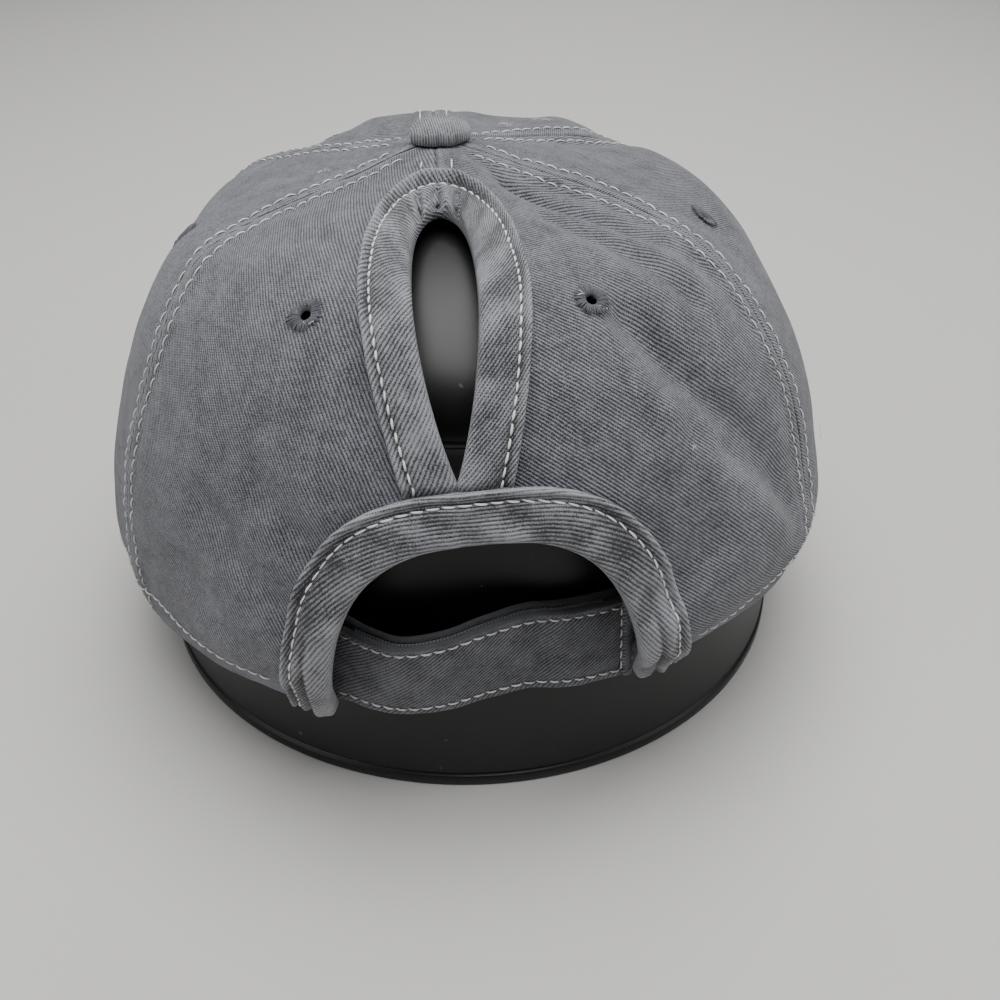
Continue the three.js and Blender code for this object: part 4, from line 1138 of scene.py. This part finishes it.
cotton = thread_cotton("white_thread", (0.22, 0.22, 0.225), (0.8, 0.8, 0.78))
rows = [stitch_row(*line, "seam", 60 + k) for k, line in enumerate(stitch_lines["seams"])]
rows += [stitch_row(*line, "seam", 160 + k) for k, line in enumerate(stitch_lines["hem"])]
dress(sewn("seam_stitches", rows, 0.45), cotton, "grey_twill")
keyhole_rows = [stitch_row(*keyhole_row, "keyhole", 71)]
dress(sewn("keyhole_stitches", keyhole_rows, 0.7), cotton, "binding_twill")
dress(sewn("arch_stitches", [stitch_row(*arch_row, "arch", 72)], 0.7), cotton, "binding_twill")

# The brim's rows, as shares of the way out; each stops short of the brim's ends
BRIM_ROWS = [0.1, 0.21, 0.32, 0.43, 0.54, 0.65, 0.76, 0.87, 0.96]
BRIM_ROW_REACH = 0.9
BRIM_ROW_SHORTER = 0.14
BRIM_ROW_LIFT = 0.05
rows = []
for number, row_share in enumerate(BRIM_ROWS):
    reach = BRIM_ROW_REACH * (1 - BRIM_ROW_SHORTER * (1 - row_share))
    brim_side = np.linspace(-reach, reach, 260)
    line = on_brim(brim_side, np.array(row_share), np.array(-BRIM_ROW_LIFT))
    upwards = np.broadcast_to((0, 0, 1.0), line.shape)
    rows.append(stitch_row(line, upwards, "seam", 190 + number))
dress(sewn("brim_stitches", rows, 0.0), cotton, "grey_twill")


HEM_ROW_MARGIN = 1.8


def strap_line(start, end, low, high, inside):
    """A straight line of stitching on the closure's face, with its outward directions."""
    across = np.linspace(start, end, 120)
    up = np.linspace(low, high, 120)
    line = on_strap(across, up, np.full(120, inside))
    out = line * (1, 1, 0)
    return line, out / np.linalg.norm(out, axis=1, keepdims=True)


hem_at = outer_end - STRAP_HEM
low_row = STRAP_STITCH
high_row = STRAP_HEIGHT - STRAP_STITCH
strap_rows = [
    strap_line(STRAP_START, hem_at, low_row, low_row, 0.0),
    strap_line(STRAP_START, hem_at, high_row, high_row, 0.0),
    strap_line(hem_at, hem_at, HEM_ROW_MARGIN, STRAP_HEIGHT - HEM_ROW_MARGIN, 0.1),
]
rows = [stitch_row(*row, "strap", 80) for row in strap_rows]
dress(sewn("strap_stitches", rows, 0.35), cotton, "grey_twill")

# The eyelets: small round holes cut in the twill for air, one to a panel. Their edges are
# bound by close radial thread in the cloth's own grey.
EYELET_FROM = 1.15
EYELET_REACH = 4.1
EYELET_STRANDS = 64
EYELET_THREAD = 0.3


def cloth_axes(around, down):
    """The outward direction at a place on the crown, and two directions along the cloth."""
    up = crown_normal(around, down)
    east = np.cross((0, 0, 1), up)
    east /= np.linalg.norm(east)
    return up, east, np.cross(up, east)


def eyelet(degrees, seed):
    """Strands from the hole's edge outwards, dipping into the hole and into the cloth."""
    rng = np.random.default_rng(seed)
    around = np.array(math.radians(degrees))
    down = np.array(EYELET_DOWN)
    centre = on_crown(around, down, np.array(0.2))
    up, east, north = cloth_axes(around, down)
    apart = np.arange(EYELET_STRANDS) + rng.uniform(-0.4, 0.4, EYELET_STRANDS)
    turn = apart * 2 * np.pi / EYELET_STRANDS
    share = np.linspace(0, 1, 7)
    reach = EYELET_REACH - EYELET_FROM + rng.uniform(-0.6, 0.3, (EYELET_STRANDS, 1))
    reach = EYELET_FROM + reach * share
    height = 0.14 * np.sin(np.pi * share**0.6) - 0.8 * (1 - share) ** 3 - 0.2 * share**4
    ray = np.cos(turn)[:, None] * east + np.sin(turn)[:, None] * north
    line = centre + ray[:, None] * reach[..., None] + up * height[None, :, None]
    swelling = EYELET_THREAD / 2 * (0.6 + 0.4 * np.sin(np.pi * share))
    thick = swelling * rng.uniform(0.7, 1.25, (EYELET_STRANDS, 1))
    return strands(line, np.broadcast_to(up, line.shape), thick)


grey_thread = thread_cotton("grey_thread", (0.05, 0.053, 0.065), (0.2, 0.205, 0.23))
eyelets = [eyelet(degrees, 90 + k) for k, degrees in enumerate(EYELET_ROUND)]
dress(sewn("eyelets", eyelets, -0.1), grey_thread, "grey_twill")

# Stray threads: short frayed ends of cotton left by the washing. They lie loose on the
# cloth at the seams and round the eyelets, each held only by its other end.
STRAY_THREAD = 0.14
STRAY_RISE = 0.35
STRAYS = [
    {"round": 73.7, "down": 0.783, "length": 3, "count": 3},
    {"round": 145, "down": 0.17, "length": 3, "count": 9},
    {"round": 138, "down": 0.22, "length": 3, "count": 7},
    {"round": -81, "down": 0.143, "length": 1.6, "count": 5},
    {"round": 24.6, "down": 0.39, "length": 1.4, "count": 4},
    {"round": 27.2, "down": 0.415, "length": 1.4, "count": 3},
    {"round": -25.2, "down": 0.415, "length": 1.3, "count": 3},
    {"round": 33, "down": 0.62, "length": 1.8, "count": 2},
]


def stray(place, seed):
    """A few curled hairs that start at one place on the cloth and lie in different directions."""
    rng = np.random.default_rng(seed)
    around = np.array(math.radians(place["round"]))
    down = np.array(place["down"])
    hairs = (place["count"], 1)
    up, east, north = cloth_axes(around, down)
    start = on_crown(around, down, np.array(0.3))
    share = np.linspace(0, 1, 9)
    turn = rng.uniform(0, 2 * np.pi, hairs) + rng.uniform(-1.2, 1.2, hairs) * share
    step = place["length"] / 8 * rng.uniform(0.6, 1.2, hairs)
    along_cloth = np.cos(turn)[..., None] * east + np.sin(turn)[..., None] * north
    run = np.cumsum(along_cloth * step[..., None], axis=1)
    rise = up * (STRAY_RISE * np.sin(np.pi * share))[None, :, None]
    line = start + rng.uniform(-0.8, 0.8, (*hairs, 1)) * east + run + rise
    thick = np.full(line.shape[:2], STRAY_THREAD / 2)
    return strands(line, np.broadcast_to(up, line.shape), thick)


strays = [stray(place, 300 + k) for k, place in enumerate(STRAYS)]
dress(sewn("stray_threads", strays, 0.4), cotton, "grey_twill")
